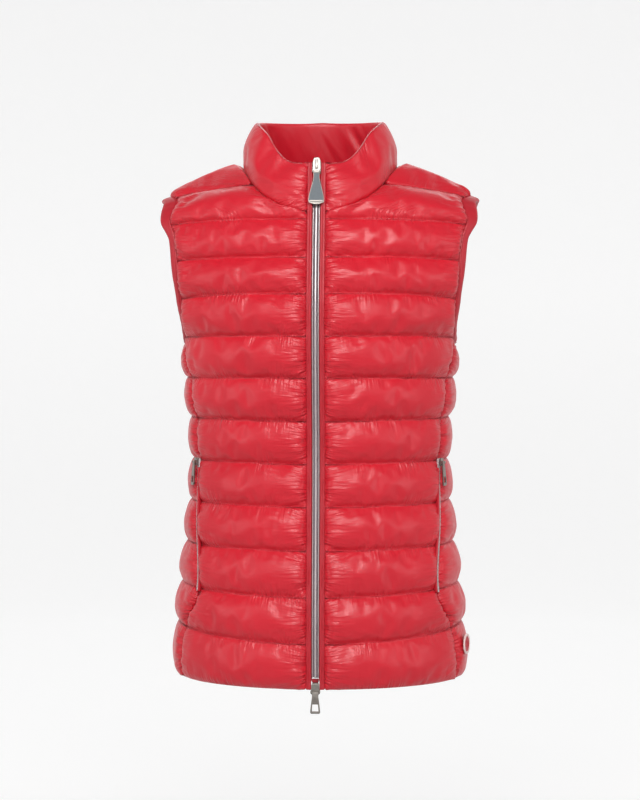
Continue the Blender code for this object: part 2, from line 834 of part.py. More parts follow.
def slider_with_bail(name, outline, frame, base, thickness, bail_down, bail_half_width, material):
    """A slider's body with the two cheeks that carry its pull, made one solid."""
    body_frame = frame @ Matrix.Translation((0, 0, (base + thickness / 2) * MM))
    body = plate(name, plate_outline(outline), thickness, None, body_frame, material)
    for side in (-1, 1):
        bm = bmesh.new()
        bmesh.ops.create_cube(bm, size=1)
        size = Vector((CHEEK_WIDTH, BAIL_LENGTH, BAIL_HEIGHT + 2 * CHEEK_SINK)) * MM
        bmesh.ops.scale(bm, vec=size, verts=bm.verts)
        cheek = finish_mesh(f"{name}_cheek", bm, material)
        middle = base + thickness + BAIL_HEIGHT / 2 - CHEEK_SINK
        cheek.matrix_world = frame @ Matrix.Translation(
            (side * bail_half_width * MM, -bail_down * MM, middle * MM)
        )
        VEST.objects.unlink(cheek)
        CUTTERS.objects.link(cheek)
        cheek.hide_render = True
        cheek.display_type = "WIRE"
        union = body.modifiers.new("cheek", "BOOLEAN")
        union.operation = "UNION"
        union.object = cheek
    return body


def hinged_plate(name, outline, hole, frame, height, bail_down, material, tilt=0.0):
    """A pull whose neck sits between a slider's cheeks. Its origin is on the hinge's axis."""
    pivot = frame @ Matrix.Translation((0, -bail_down * MM, height * MM))
    pivot = pivot @ Matrix.Rotation(radians(tilt), 4, "Z")
    ring = plate_outline(hole) if hole else None
    return plate(name, plate_outline(outline), PULL_THICKNESS, ring, pivot, material)


def build_top_slider():
    drop = TOP_SLIDER_TOP - COLLAR_FRONT_TOP
    collar_top, down, outwards = placket_frame(COLLAR_FRONT_TOP - TOP_FRAME_DROP)
    origin = collar_top - down * (drop + TOP_FRAME_DROP) / (-down.z)
    frame = hardware_frame(origin, down, outwards)
    slider_with_bail(
        "top_slider", TOP_SLIDER_OUTLINE, frame, TOP_SLIDER_BASE, TOP_SLIDER_THICKNESS,
        TOP_BAIL_DOWN, FRONT_BAIL_HALF_WIDTH, STEEL,
    )
    height = TOP_SLIDER_BASE + TOP_SLIDER_THICKNESS + PIVOT_RISE
    hinged_plate("top_pull", TOP_PULL_OUTLINE, None, frame, height, TOP_BAIL_DOWN, STEEL)


def build_bottom_slider():
    origin, down, outwards = placket_frame(STOP_BOTTOM - STRIP_GAP)
    frame = hardware_frame(origin, down, outwards)
    slider_with_bail(
        "bottom_slider", BOTTOM_SLIDER_OUTLINE, frame, BOTTOM_SLIDER_BASE, BOTTOM_SLIDER_THICKNESS,
        BOTTOM_BAIL_DOWN, FRONT_BAIL_HALF_WIDTH, STEEL,
    )
    height = BOTTOM_SLIDER_BASE + BOTTOM_SLIDER_THICKNESS + PIVOT_RISE
    hinged_plate(
        "bottom_pull", BOTTOM_PULL_OUTLINE, BOTTOM_PULL_HOLE, frame, height, BOTTOM_BAIL_DOWN, STEEL
    )


# ---------------------------------------------------------------- pockets

POCKET_TOP = -343.0
POCKET_BOTTOM = -498.0
POCKET_STOPS = 12
POCKET_ZIP_HALF_WIDTH = 2.0
POCKET_ZIP_UNDER = 2.4
POCKET_ZIP_OVER = 4.2
WELT_INNER = 2.3
WELT_OUTER = 5.0
WELT_TOP = POCKET_TOP - 11.0
WELT_UNDER = POCKET_ZIP_UNDER + 1.6
WELT_OVER = POCKET_ZIP_OVER + 2.0
POCKET_FALL = 30.0
POCKET_SLIDER_LIFT = 0.6
POCKET_SLIDER_THICKNESS = 2.4


def side_seam_row(height):
    return find_root(
        lambda row: torso_point(side_seam_angle(row, 1), row).z - height, 0.0, float(TOP_ROW)
    )


def beside_seam(height, across, offset):
    """A point at a distance from the front side seam (positive to the back) and off the surface."""
    row = side_seam_row(height)
    angle = side_seam_angle(row, 1)
    tangent = (torso_point(angle + 0.01, row) - torso_point(angle - 0.01, row)).normalized()
    return torso_point(angle, row) + tangent * across + outward(angle, row) * offset


def build_pocket_strip(side, name, low, high, top, under, over, material):
    def shape(column, row_index, layer):
        height = between(POCKET_BOTTOM, top, row_index / POCKET_STOPS)
        return mirrored(side, beside_seam(height, high if column else low, over if layer else under))

    return bent_slab(name, 1, POCKET_STOPS, shape, material)


def pocket_frame(side):
    origin = beside_seam(POCKET_TOP, 0, 0)
    below = beside_seam(POCKET_TOP - POCKET_FALL, 0, 0)
    row = side_seam_row(POCKET_TOP)
    outwards = outward(side_seam_angle(row, 1), row)
    down = (below - origin).normalized()
    outwards = (outwards - down * outwards.dot(down)).normalized()
    return hardware_frame(mirrored(side, origin), mirrored(side, down), mirrored(side, outwards))


def build_pocket(side, name):
    build_pocket_strip(
        side, f"pocket_zip_{name}", -POCKET_ZIP_HALF_WIDTH, POCKET_ZIP_HALF_WIDTH,
        POCKET_TOP, POCKET_ZIP_UNDER, POCKET_ZIP_OVER, TEETH,
    )
    build_pocket_strip(
        side, f"pocket_welt_{name}", -WELT_OUTER, -WELT_INNER, WELT_TOP,
        WELT_UNDER, WELT_OVER, NYLON,
    )
    frame = pocket_frame(side)
    base = POCKET_ZIP_OVER + POCKET_SLIDER_LIFT
    slider_with_bail(
        f"pocket_slider_{name}", POCKET_SLIDER_OUTLINE, frame, base, POCKET_SLIDER_THICKNESS,
        POCKET_BAIL_DOWN, POCKET_BAIL_HALF_WIDTH, STEEL,
    )
    height = base + POCKET_SLIDER_THICKNESS + PIVOT_RISE
    hinged_plate(
        f"pocket_pull_{name}", POCKET_PULL_OUTLINE, POCKET_PULL_HOLE, frame, height,
        POCKET_BAIL_DOWN, STEEL, side * POCKET_PULL_TILT,
    )


# ---------------------------------------------------------------- badge

BADGE_ANGLE = 78.0
BADGE_HEIGHT = -563.0
BADGE_RADIUS = 12.0
BADGE_RING = 2.6
BADGE_THICKNESS = 1.6
BADGE_LIFT = 0.8
BADGE_GAP = 0.4


def turned_ring(name, inner, outer, thickness, frame, material, steps=32):
    """A flat ring or disc, turned from a rectangular profile."""
    bm = bmesh.new()
    profile = ((inner, thickness), (outer, thickness), (outer, 0.0), (inner, 0.0))
    corners = [bm.verts.new((radius * MM, 0, height * MM)) for radius, height in profile]
    edges = [bm.edges.new((corners[i], corners[(i + 1) % 4])) for i in range(4)]
    bmesh.ops.spin(
        bm, geom=corners + edges, cent=(0, 0, 0), axis=(0, 0, 1), angle=2 * pi, steps=steps,
        use_merge=True,
    )
    bmesh.ops.remove_doubles(bm, verts=bm.verts, dist=1e-7)
    piece = finish_mesh(name, bm, material)
    piece.matrix_world = frame
    return piece


def build_badge():
    angle = radians(BADGE_ANGLE)
    row = find_root(lambda level: torso_point(angle, level).z - BADGE_HEIGHT, 0.0, 3.0)
    offset = SIDE_LOFT + BADGE_LIFT
    point = on_torso(angle, row, offset)
    outwards = outward(angle, row)
    down = (Vector((0, 0, -1)) + outwards * outwards.z).normalized()
    frame = hardware_frame(point, down, outwards)
    turned_ring("badge_ring", BADGE_RADIUS - BADGE_RING, BADGE_RADIUS, BADGE_THICKNESS, frame, RUBBER)
    inner_radius = (BADGE_RADIUS - BADGE_RING - BADGE_GAP) * MM
    bm = bmesh.new()
    bmesh.ops.create_cone(
        bm, cap_ends=True, segments=32, radius1=inner_radius, radius2=inner_radius,
        depth=BADGE_THICKNESS * MM,
    )
    disc = finish_mesh("badge", bm, PATCH)
    disc.matrix_world = frame @ Matrix.Translation((0, 0, BADGE_THICKNESS / 2 * MM))


# ---------------------------------------------------------------- the vest

clear_scene()
VEST = make_collection("puffer_vest")
CUTTERS = make_collection("cutters")
SIDES = ((1, "left"), (-1, "right"))

NYLON = make_material("glossy_red_nylon", (0.60, 0.022, 0.036), 0.35)
TAPE = make_material("red_woven_tape", (0.42, 0.015, 0.026), 0.7)
TEETH = make_material("silver_zip_teeth", (0.60, 0.58, 0.58), 0.35, 0.8)
STEEL = make_material("polished_zinc", (0.62, 0.60, 0.57), 0.28, 1.0)
RUBBER = make_material("white_rubber", (0.80, 0.74, 0.72), 0.5)
PATCH = make_material("red_rubber", (0.55, 0.02, 0.03), 0.5)

for vest_side, side_name in SIDES:
    build_front(vest_side, f"front_{side_name}")
    build_side(vest_side, f"side_{side_name}")
    build_armhole_binding(vest_side, f"armhole_binding_{side_name}")
    build_pocket(vest_side, side_name)
build_back("back")
build_collar("collar")
build_front_zip()
build_top_slider()
build_bottom_slider()
build_badge()
bpy.context.view_layer.update()
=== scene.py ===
# %% [markdown]
# # A quilted puffer vest
#
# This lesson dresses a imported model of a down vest: a stand collar, a two-way zip in front, eleven
# rows of baffles and two zipped pockets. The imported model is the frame. It fixes where every piece
# is, and the cells below make the surface that the eye sees: puffed nylon, bindings, coils and metal.

import bmesh
import bpy
import json
import numpy as np
from functools import cache
from math import cos, degrees, pi, radians, sin, sqrt
from mathutils import Matrix, Vector, noise

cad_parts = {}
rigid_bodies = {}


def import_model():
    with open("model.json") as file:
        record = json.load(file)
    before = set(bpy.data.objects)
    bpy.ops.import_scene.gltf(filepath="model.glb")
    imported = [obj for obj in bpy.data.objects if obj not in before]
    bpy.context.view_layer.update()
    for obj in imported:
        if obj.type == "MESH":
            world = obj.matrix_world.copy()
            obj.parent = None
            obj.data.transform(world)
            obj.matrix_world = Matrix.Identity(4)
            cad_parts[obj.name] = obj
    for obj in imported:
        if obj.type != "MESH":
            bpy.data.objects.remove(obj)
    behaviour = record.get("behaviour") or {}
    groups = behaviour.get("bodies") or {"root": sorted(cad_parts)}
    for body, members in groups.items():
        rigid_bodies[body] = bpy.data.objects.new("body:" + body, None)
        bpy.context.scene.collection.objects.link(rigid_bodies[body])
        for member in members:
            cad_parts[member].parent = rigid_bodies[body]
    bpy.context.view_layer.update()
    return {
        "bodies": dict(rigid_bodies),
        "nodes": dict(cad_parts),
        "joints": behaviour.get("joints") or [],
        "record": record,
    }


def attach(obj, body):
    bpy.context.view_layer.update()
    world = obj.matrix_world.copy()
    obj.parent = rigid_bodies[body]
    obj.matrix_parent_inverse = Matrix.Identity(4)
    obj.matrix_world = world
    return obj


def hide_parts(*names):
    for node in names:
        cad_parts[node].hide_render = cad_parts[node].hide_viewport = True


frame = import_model()
MM = 0.001
SIDES = ((1, "left"), (-1, "right"))

# %% [markdown]
# ## Camera, light and floor
#
# A catalogue picture of clothing is taken from far off with a long lens, so that the hem and the
# shoulders keep their proportions. A vest of glossy nylon needs large, soft lights: each baffle
# shows a blurred image of the softbox, and that is what tells the eye it is round. One large box
# hangs in front above the camera, a lower one stands at each side, a weak one fills the metal from
# the front, and one lights the back. The room is a bowl that glows behind the vest and stays dark
# behind the camera, so that the red isn't washed out by a pale reflection.

# %% The camera, level with the chest
CAMERA_DISTANCE = 2.2
CAMERA_HEIGHT = -0.224
CAMERA_TURN = radians(2.7)
LONG_SIDE_SEEN = 0.96
SENSOR = 36.0

camera_data = bpy.data.cameras.new("camera")
camera_data.sensor_width = SENSOR
camera_data.lens = SENSOR * CAMERA_DISTANCE / LONG_SIDE_SEEN
camera_data.shift_y = -0.054
camera = bpy.data.objects.new("camera", camera_data)
camera.location = (
    CAMERA_DISTANCE * sin(CAMERA_TURN), -CAMERA_DISTANCE * cos(CAMERA_TURN), CAMERA_HEIGHT
)
camera.rotation_euler = (pi / 2, 0, CAMERA_TURN)
bpy.context.collection.objects.link(camera)
bpy.context.scene.camera = camera
bpy.context.scene.view_settings.view_transform = "Standard"
print(f"A {camera_data.lens:.1f} mm lens, {CAMERA_DISTANCE} m away")

# %% Two helpers for materials


def linear(hex_colour):
    """An sRGB hex colour, as a painter's chart gives it, made linear for the shader."""
    channels = [int(hex_colour[i : i + 2], 16) / 255 for i in (1, 3, 5)]
    return (*(c / 12.92 if c <= 0.04045 else ((c + 0.055) / 1.055) ** 2.4 for c in channels), 1.0)


def add_node(tree, kind, settings=None, **links):
    """Adds a node. settings are its properties; links are its inputs, as values or other sockets."""
    node = tree.nodes.new(kind)
    for name, value in (settings or {}).items():
        setattr(node, name, value)
    for name, value in links.items():
        key = int(name[1:]) if name[0] == "i" and name[1:].isdigit() else name.replace("_", " ")
        if isinstance(value, bpy.types.NodeSocket):
            tree.links.new(value, node.inputs[key])
        else:
            node.inputs[key].default_value = value
    return node


def new_material(name):
    """A material with an empty tree, its Principled BSDF and its output."""
    material = bpy.data.materials.new(name)
    material.use_nodes = True
    tree = material.node_tree
    return material, tree, tree.nodes["Principled BSDF"]


# %% One recipe for small patterned surfaces
NOISE, WAVE = "ShaderNodeTexNoise", "ShaderNodeTexWave"


def patterned(name, colours, *patterns, roughness=0.5, stretch=None, **shader):
    """A surface that varies between two colours and is a little rough to the touch.

    Each pattern is (kind, scale, bump strength, bump depth in millimetres, further inputs). The last
    one mixes the colours. A pair of roughnesses is spread over the first. stretch scales the first
    pattern's coordinates, and shader holds the Principled BSDF's other inputs.
    """
    material, tree, surface = new_material(name)
    place = add_node(tree, "ShaderNodeTexCoord").outputs["Object"]
    made, normal = [], {}
    for kind, scale, strength, depth, further in patterns:
        spot = place
        if stretch and not made:
            spot = add_node(tree, "ShaderNodeMapping", Vector=place, Scale=stretch).outputs["Vector"]
        settings = {"bands_direction": "DIAGONAL"} if kind == WAVE else {}
        made.append(add_node(tree, kind, settings, Vector=spot, Scale=scale, **further).outputs["Fac"])
        if strength:
            bump = add_node(
                tree, "ShaderNodeBump", Strength=strength, Distance=depth * MM, Height=made[-1], **normal
            )
            normal = {"Normal": bump.outputs["Normal"]}
    first, second = (linear(colour) for colour in colours)
    mix = add_node(tree, "ShaderNodeMix", {"data_type": "RGBA"}, Factor=made[-1], i6=first, i7=second)
    tree.links.new(mix.outputs[2], surface.inputs["Base Color"])
    if normal:
        tree.links.new(normal["Normal"], surface.inputs["Normal"])
    if isinstance(roughness, tuple):
        low, high = roughness
        spread = add_node(tree, "ShaderNodeMapRange", Value=made[0], To_Min=low, To_Max=high)
        tree.links.new(spread.outputs["Result"], surface.inputs["Roughness"])
    else:
        surface.inputs["Roughness"].default_value = roughness
    for socket, value in shader.items():
        surface.inputs[socket.replace("_", " ")].default_value = value
    return material


# %% A pale room and five soft lights
FLOOR_HEIGHT = -1.0
ROOM_RADIUS = 4.2
ROOM_HEIGHT = 5.0
ROOM_CURVE = 1.0
ROOM_GLOW = 0.58
ROOM_SHADE = 0.03
GLOW_STARTS, GLOW_FULL = -0.8, 1.2
AIM = (0, 0, -0.28)
AIR_LIGHT = 0.2


def deselect_all():
    for thing in bpy.context.selected_objects:
        thing.select_set(False)


def make_room():
    profile = [(0.0, 0.0), (ROOM_RADIUS - ROOM_CURVE, 0.0)]
    for step in range(1, 13):
        turn = pi / 2 * step / 12
        profile.append((ROOM_RADIUS - ROOM_CURVE + ROOM_CURVE * sin(turn), ROOM_CURVE * (1 - cos(turn))))
    profile.append((ROOM_RADIUS, ROOM_HEIGHT))
    bm = bmesh.new()
    corners = [bm.verts.new((x, 0, FLOOR_HEIGHT + z)) for x, z in profile]
    edges = [bm.edges.new(pair) for pair in zip(corners, corners[1:])]
    bmesh.ops.spin(
        bm, geom=corners + edges, cent=(0, 0, 0), axis=(0, 0, 1), angle=2 * pi, steps=64, use_merge=True
    )
    bmesh.ops.remove_doubles(bm, verts=bm.verts, dist=1e-5)
    mesh = bpy.data.meshes.new("studio_floor")
    bm.to_mesh(mesh)
    bm.free()
    mesh.shade_smooth()
    room = bpy.data.objects.new("studio_floor", mesh)
    bpy.context.collection.objects.link(room)
    # The paint glows: painted light from emission, dim behind the camera and rising to bright behind the
    # vest, where it stands in for a lit backdrop.
    material, tree, surface = new_material("matt_white_studio_paint")
    place = add_node(tree, "ShaderNodeTexCoord").outputs["Object"]
    depth = add_node(tree, "ShaderNodeSeparateXYZ", Vector=place)
    glow = add_node(
        tree, "ShaderNodeMapRange", {"interpolation_type": "SMOOTHSTEP"}, Value=depth.outputs["Y"],
        From_Min=GLOW_STARTS, From_Max=GLOW_FULL, To_Min=ROOM_SHADE, To_Max=ROOM_GLOW,
    )
    tree.links.new(glow.outputs["Result"], surface.inputs["Emission Strength"])
    surface.inputs["Base Color"].default_value = linear("#B4B4B4")
    surface.inputs["Roughness"].default_value = 0.9
    surface.inputs["Emission Color"].default_value = linear("#FFFFFF")
    mesh.materials.append(material)


def add_softbox(name, place, size, watts):
    data = bpy.data.lights.new(name, "AREA")
    data.shape = "RECTANGLE"
    data.size, data.size_y = size
    data.energy = watts
    lamp = bpy.data.objects.new(name, data)
    lamp.location = place
    lamp.rotation_euler = (Vector(AIM) - Vector(place)).to_track_quat("-Z", "Y").to_euler()
    bpy.context.collection.objects.link(lamp)


make_room()
SOFTBOXES = (
    # name, place, size, watts
    ("front_softbox", (0.0, -2.4, 1.35), (1.9, 1.0), 60),
    ("left_softbox", (2.3, -1.5, 0.1), (0.8, 1.8), 12),
    ("right_softbox", (-2.3, -1.5, 0.1), (0.8, 1.8), 12),
    ("low_fill", (0.0, -3.2, -0.3), (1.2, 0.9), 6),
    ("back_softbox", (0.0, 2.3, 1.4), (1.8, 1.0), 10),
)
for softbox in SOFTBOXES:
    add_softbox(*softbox)
world = bpy.data.worlds.new("studio_air")
world.use_nodes = True
world.node_tree.nodes["Background"].inputs["Color"].default_value = linear("#FFFFFF")
world.node_tree.nodes["Background"].inputs["Strength"].default_value = AIR_LIGHT
bpy.context.scene.world = world
print("Room and softboxes are up")

# %% [markdown]
# ## The stitch surface
#
# A vest is cut flat, quilted, and sewn to a worn shape. Every seam in it lies on one surface, and
# the padding stands proud of that surface between the seams. So the lesson first writes down that
# surface, in millimetres, from a table of rings round the body and a table of quilting seams. A
# point on it is given by an angle round the body (0 at the centre front, 90 degrees at the wearer's
# left) and a row of quilting (0 at the hem).

# %% The rings, the seams and the collar's edge
FIGURE_RINGS = (
    # height, half_width, front_depth, back_depth
    (-603, 170.0, 114, 114),
    (-528, 168.0, 115, 116),
    (-430, 157.0, 107, 101),
    (-337, 151.0, 100, 91),
    (-243, 159.0, 112, 97),
    (-200, 163.0, 116, 103),
    (-157, 184.0, 114, 106),
    (-113, 202.0, 105, 106),
    (-60, 203.0, 93, 98),
)
QUILT_ROWS = (
    # centre_height, side_rise
    (-603.0, 1), (-550.5, 13), (-498.0, 7), (-445.5, 3), (-396.0, 3), (-347.0, 3),
    (-297.5, 3), (-248.0, 0), (-200.0, 0), (-151.5, -6), (-109.5, -3), (-65.0, -6),
)
SIDE_SEAMS = (
    # height, front_angle, back_angle
    (-603, 71.5, 112), (-540, 66.5, 113), (-498, 57.0, 114), (-415, 64.0, 115),
    (-345, 67.5, 114), (-248, 71.0, 112), (-204, 79.0, 108),
)
COLLAR_TOP = ((0, 1), (25, 3), (41, 19), (56, 41), (90, 57), (180, 65))
TOP_ROW = len(QUILT_ROWS) - 1
RIDGE_ROW = TOP_ROW + 2
SHOULDER_CREST, SHOULDER_SLOPE, SHOULDER_ROUND = 28.3, 0.42, 40.0
FRONT_SHOULDER_POWER, BACK_SHOULDER_POWER = 1.54, 1.0
NECK_FRONT_HEIGHT, NECK_BACK_HEIGHT, NECK_SIDE_ANGLE = -57.0, -10.0, 27.0
SHOULDER_SEAM_NECK_TURN, SHOULDER_SEAM_TIP_TURN = 45.0, 64.0
YOKE_SEAM = ((0.0, 12.35), (0.1, 12.0), (0.26, 11.68), (0.5, 11.5))
OPENING_LOOP = {"centre": -118.5, "half_height": 82.0, "front_depth": 55.0, "back_depth": 60.0}
STITCH_LOOP = {"centre": -120.7, "half_height": 88.3, "front_depth": 61.0, "back_depth": 66.0}
SEAM_GAP = 0.1
WALL = 3.0
FRONT_LOFT, SIDE_LOFT, LINING_LOFT = 12.0, 8.0, 4.0
COLLAR_HALF_WIDTH, COLLAR_FRONT_DEPTH, COLLAR_BACK_DEPTH = 76.0, 78.0, 66.0
COLLAR_WALL, COLLAR_LOFT = 4.0, 6.0
PANEL_START = 10.4
print(f"{TOP_ROW} rows of baffles from hem to chest, {QUILT_ROWS[-1][0] - QUILT_ROWS[0][0]:.0f} mm")

# %% Reading the tables


def between(start, end, share):
    return start + (end - start) * share


def smooth_column(table, column, key):
    """A column of a table, read at a key in its first column along a smooth cubic curve."""
    last = len(table) - 1
    key = min(max(key, table[0][0]), table[last][0])
    upper = next(i for i in range(1, last + 1) if key <= table[i][0])
    lower = upper - 1
    span = table[upper][0] - table[lower][0]

    def slope(i):
        before, after = table[max(i - 1, 0)], table[min(i + 1, last)]
        return (after[column] - before[column]) / (after[0] - before[0]) * span

    t = (key - table[lower][0]) / span
    return (
        table[lower][column] * (1 + 2 * t) * (1 - t) ** 2
        + slope(lower) * t * (1 - t) ** 2
        + table[upper][column] * t * t * (3 - 2 * t)
        - slope(upper) * t * t * (1 - t)
    )


def find_root(value_at, low, high, halvings=30):
    """Where value_at changes sign between low and high, by halving."""
    low_is_positive = value_at(low) > 0
    for _ in range(halvings):
        middle = (low + high) / 2
        if (value_at(middle) > 0) == low_is_positive:
            low = middle
        else:
            high = middle
    return (low + high) / 2


# %% The surface itself


def seam_height(row, angle):
    lower = min(int(row), TOP_ROW - 1)
    share = row - lower
    centre = between(QUILT_ROWS[lower][0], QUILT_ROWS[lower + 1][0], share)
    rise = between(QUILT_ROWS[lower][1], QUILT_ROWS[lower + 1][1], share)
    return centre + rise * abs(sin(angle)) ** 3


def torso_point(angle, row):
    """Above the last seam the surface turns over the shoulder, and comes down on the other side."""
    if row > RIDGE_ROW:
        return torso_point(pi - angle, 2 * RIDGE_ROW - row)
    height = seam_height(min(row, TOP_ROW), angle)
    half_width = smooth_column(FIGURE_RINGS, 1, height)
    depth = smooth_column(FIGURE_RINGS, 2 if cos(angle) > 0 else 3, height)
    x, y = half_width * sin(angle), -depth * cos(angle)
    if row <= TOP_ROW:
        return Vector((x, y, height))
    turn = (row - TOP_ROW) / (RIDGE_ROW - TOP_ROW) * pi / 2
    power = FRONT_SHOULDER_POWER if cos(angle) > 0 else BACK_SHOULDER_POWER
    crest = SHOULDER_CREST - SHOULDER_SLOPE * (sqrt(x * x + SHOULDER_ROUND**2) - SHOULDER_ROUND)
    reach = max(cos(turn), 0.0) ** power
    return Vector((x, y * reach, between(height, crest, sin(turn) ** power)))


def outward(angle, row):
    step = 0.02
    across = torso_point(angle + step, row) - torso_point(angle - step, row)
    up = torso_point(angle, row + step * 3) - torso_point(angle, max(row - step * 3, 0))
    return across.cross(up).normalized()


def turn_row(turn):
    """The row at which the surface has turned by so many degrees over the shoulder."""
    return TOP_ROW + (RIDGE_ROW - TOP_ROW) * turn / 90


def mirrored(side, point):
    return Vector((point.x * side, point.y, point.z))


print("Chest half width:", round(torso_point(pi / 2, 8).x), "mm")

# %% Where the panels end: the zip, the side seams, the armholes and the neck


@cache
def centre_front_angle(row):
    return find_root(lambda angle: torso_point(angle, row).x - PANEL_START, 0.0, radians(30))


def armhole_angle(loop, row, towards_front):
    """Where a row of the stitch surface meets an armhole loop, an ellipse seen from the side."""
    depth = loop["front_depth"] if towards_front else loop["back_depth"]

    def outside(angle):
        point = torso_point(angle, row)
        return (point.y / depth) ** 2 + ((point.z - loop["centre"]) / loop["half_height"]) ** 2 - 1

    far = radians(8) if towards_front else radians(172)
    return pi / 2 if outside(pi / 2) > 0 else find_root(outside, far, pi / 2)


@cache
def stitch_angle(row, towards_front):
    return armhole_angle(STITCH_LOOP, row, towards_front)


def side_seam_angle(row, column):
    height = seam_height(min(row, TOP_ROW), radians(70))
    return radians(smooth_column(SIDE_SEAMS, column, height))


@cache
def gap_angle(row):
    """Half of the seam gap, as an angle about the body."""
    here, there = (torso_point(pi / 2 + turn, min(row, TOP_ROW)) for turn in (0, 0.01))
    return 0.01 * SEAM_GAP / 2 / (there - here).length


@cache
def panel_edge(row, towards_front):
    if towards_front:
        return min(side_seam_angle(row, 1), stitch_angle(row, True)) - gap_angle(row)
    return max(side_seam_angle(row, 2), stitch_angle(row, False)) + gap_angle(row)


def neck_turn(height, angle):
    return find_root(lambda turn: torso_point(angle, turn_row(turn)).z - height, 0.0, 90.0)


NECK_FRONT_TURN = neck_turn(NECK_FRONT_HEIGHT, 0.0)
NECK_BACK_TURN = neck_turn(NECK_BACK_HEIGHT, pi)


@cache
def neck_chart(around):
    """The neck seam on the stitch surface: around is 0 at the centre front and pi at the back."""
    start_turn = NECK_FRONT_TURN if cos(around) > 0 else NECK_BACK_TURN
    from_centre = radians(NECK_SIDE_ANGLE) * sin(around)
    turn = 90 - (90 - start_turn) * abs(cos(around))
    return (from_centre if cos(around) > 0 else pi - from_centre), turn_row(turn)


NECK_START = find_root(lambda around: torso_point(*neck_chart(around)).x - PANEL_START, 0.0, 1.0)
SEAM_AT_NECK = find_root(
    lambda around: neck_chart(around)[1] - turn_row(SHOULDER_SEAM_NECK_TURN), 0.0, radians(89)
)
TIP_ROW = turn_row(SHOULDER_SEAM_TIP_TURN)
TIP_ANGLE = armhole_angle(STITCH_LOOP, TIP_ROW, True)
NECK_ANGLE = neck_chart(SEAM_AT_NECK)[0]
print(f"The shoulder seam runs from {degrees(NECK_ANGLE):.0f} to {degrees(TIP_ANGLE):.0f} degrees")

# %% [markdown]
# ## Padded panels
#
# A puffer panel is two layers of down-proof nylon with loose down between them, sewn together along
# straight rows. The shell is cut a little larger than the space it fills. The down blows it up, and
# the spare cloth has to go somewhere, so it wrinkles where the seams hold it flat. Cloth simulation
# does just that: the seams are pinned, the cloth is told that it is a few per cent larger than
# drawn, and air pressure inside stands for the down. Each panel starts as a fine grid bent to the
# stitch surface, with a coarser lining grid behind it and a rim that joins the two.

# %% Charts: where a point of each panel lies
SHOULDER_SEAM_GAP = 0.006
NECK_RISE = 1 / 6
NECK_CORNER_SHARE = 0.26
NECK_BOW, NECK_BOW_REACH = radians(5.0), 0.13
SIDE_TOP_ROW = 8


@cache
def front_ends(level):
    """A front panel's two ends at a level: (angle, row) beside the zip or neck, and at the side."""
    if level <= TOP_ROW:
        return (centre_front_angle(level), level), (panel_edge(level, True), level)
    climb = level - TOP_ROW
    edge_row = between(TOP_ROW, TIP_ROW, climb)
    if climb < NECK_RISE:
        row = between(TOP_ROW, neck_chart(NECK_START)[1], climb / NECK_RISE)
        inner = (centre_front_angle(row), row)
    else:
        share = (climb - NECK_RISE) / (1 - NECK_RISE)
        inner = neck_chart(between(NECK_START, SEAM_AT_NECK, share))
    return inner, (stitch_angle(edge_row, True), edge_row)


def front_chart(across, level):
    (start, start_row), (end, end_row) = front_ends(level)
    gap = SHOULDER_SEAM_GAP * max(level - TOP_ROW, 0)
    return between(start, end, across), between(start_row, end_row, across) - gap


def side_top_row(angle):
    """The row at which the side panel meets the bottom of the armhole."""
    if stitch_angle(SIDE_TOP_ROW, True) > angle and angle < pi / 2:
        return SIDE_TOP_ROW
    depth = STITCH_LOOP["front_depth"] if angle < pi / 2 else STITCH_LOOP["back_depth"]
    share = torso_point(angle, SIDE_TOP_ROW).y / depth
    height = STITCH_LOOP["centre"] - STITCH_LOOP["half_height"] * sqrt(max(1 - share * share, 0))
    return find_root(lambda row: torso_point(angle, row).z - height, SIDE_TOP_ROW - 1, SIDE_TOP_ROW)


def side_chart(across, level):
    row = level
    for _ in range(2):
        low = side_seam_angle(row, 1) + gap_angle(level)
        high = side_seam_angle(row, 2) - gap_angle(level)
        angle = between(low, high, across)
        if level > SIDE_TOP_ROW - 1:
            row = between(SIDE_TOP_ROW - 1, side_top_row(angle), level - SIDE_TOP_ROW + 1)
    return angle, row


@cache
def back_top(share):
    """The back's top edge: over the shoulder to its seam in front, and round the neck between."""
    over_front = 2 * RIDGE_ROW
    if share > 0.5:
        angle, row = back_top(1 - share)
        return 2 * pi - angle, row
    if share <= NECK_CORNER_SHARE:
        towards_neck = share / NECK_CORNER_SHARE
        angle = between(TIP_ANGLE, neck_chart(SEAM_AT_NECK)[0], towards_neck)
        row = between(TIP_ROW, turn_row(SHOULDER_SEAM_NECK_TURN), towards_neck)
        return pi - angle, over_front - row - SHOULDER_SEAM_GAP
    round_neck = (share - NECK_CORNER_SHARE) / (0.5 - NECK_CORNER_SHARE)
    around = between(SEAM_AT_NECK, pi, round_neck)
    angle, row = neck_chart(around)
    return (pi - angle, over_front - row) if cos(around) > 0 else (angle, row)


@cache
def back_edge_over(row):
    """The armhole edge of the back, which carries on over the shoulder ridge."""
    if row <= RIDGE_ROW:
        return stitch_angle(row, False)
    return pi - stitch_angle(2 * RIDGE_ROW - row, True)


@cache
def back_yoke_row(share, climb):
    yoke_row = smooth_column(YOKE_SEAM, 1, min(share, 1 - share))
    if climb < 0.5:
        return between(TOP_ROW, yoke_row, climb * 2)
    return between(yoke_row, back_top(share)[1], climb * 2 - 1)


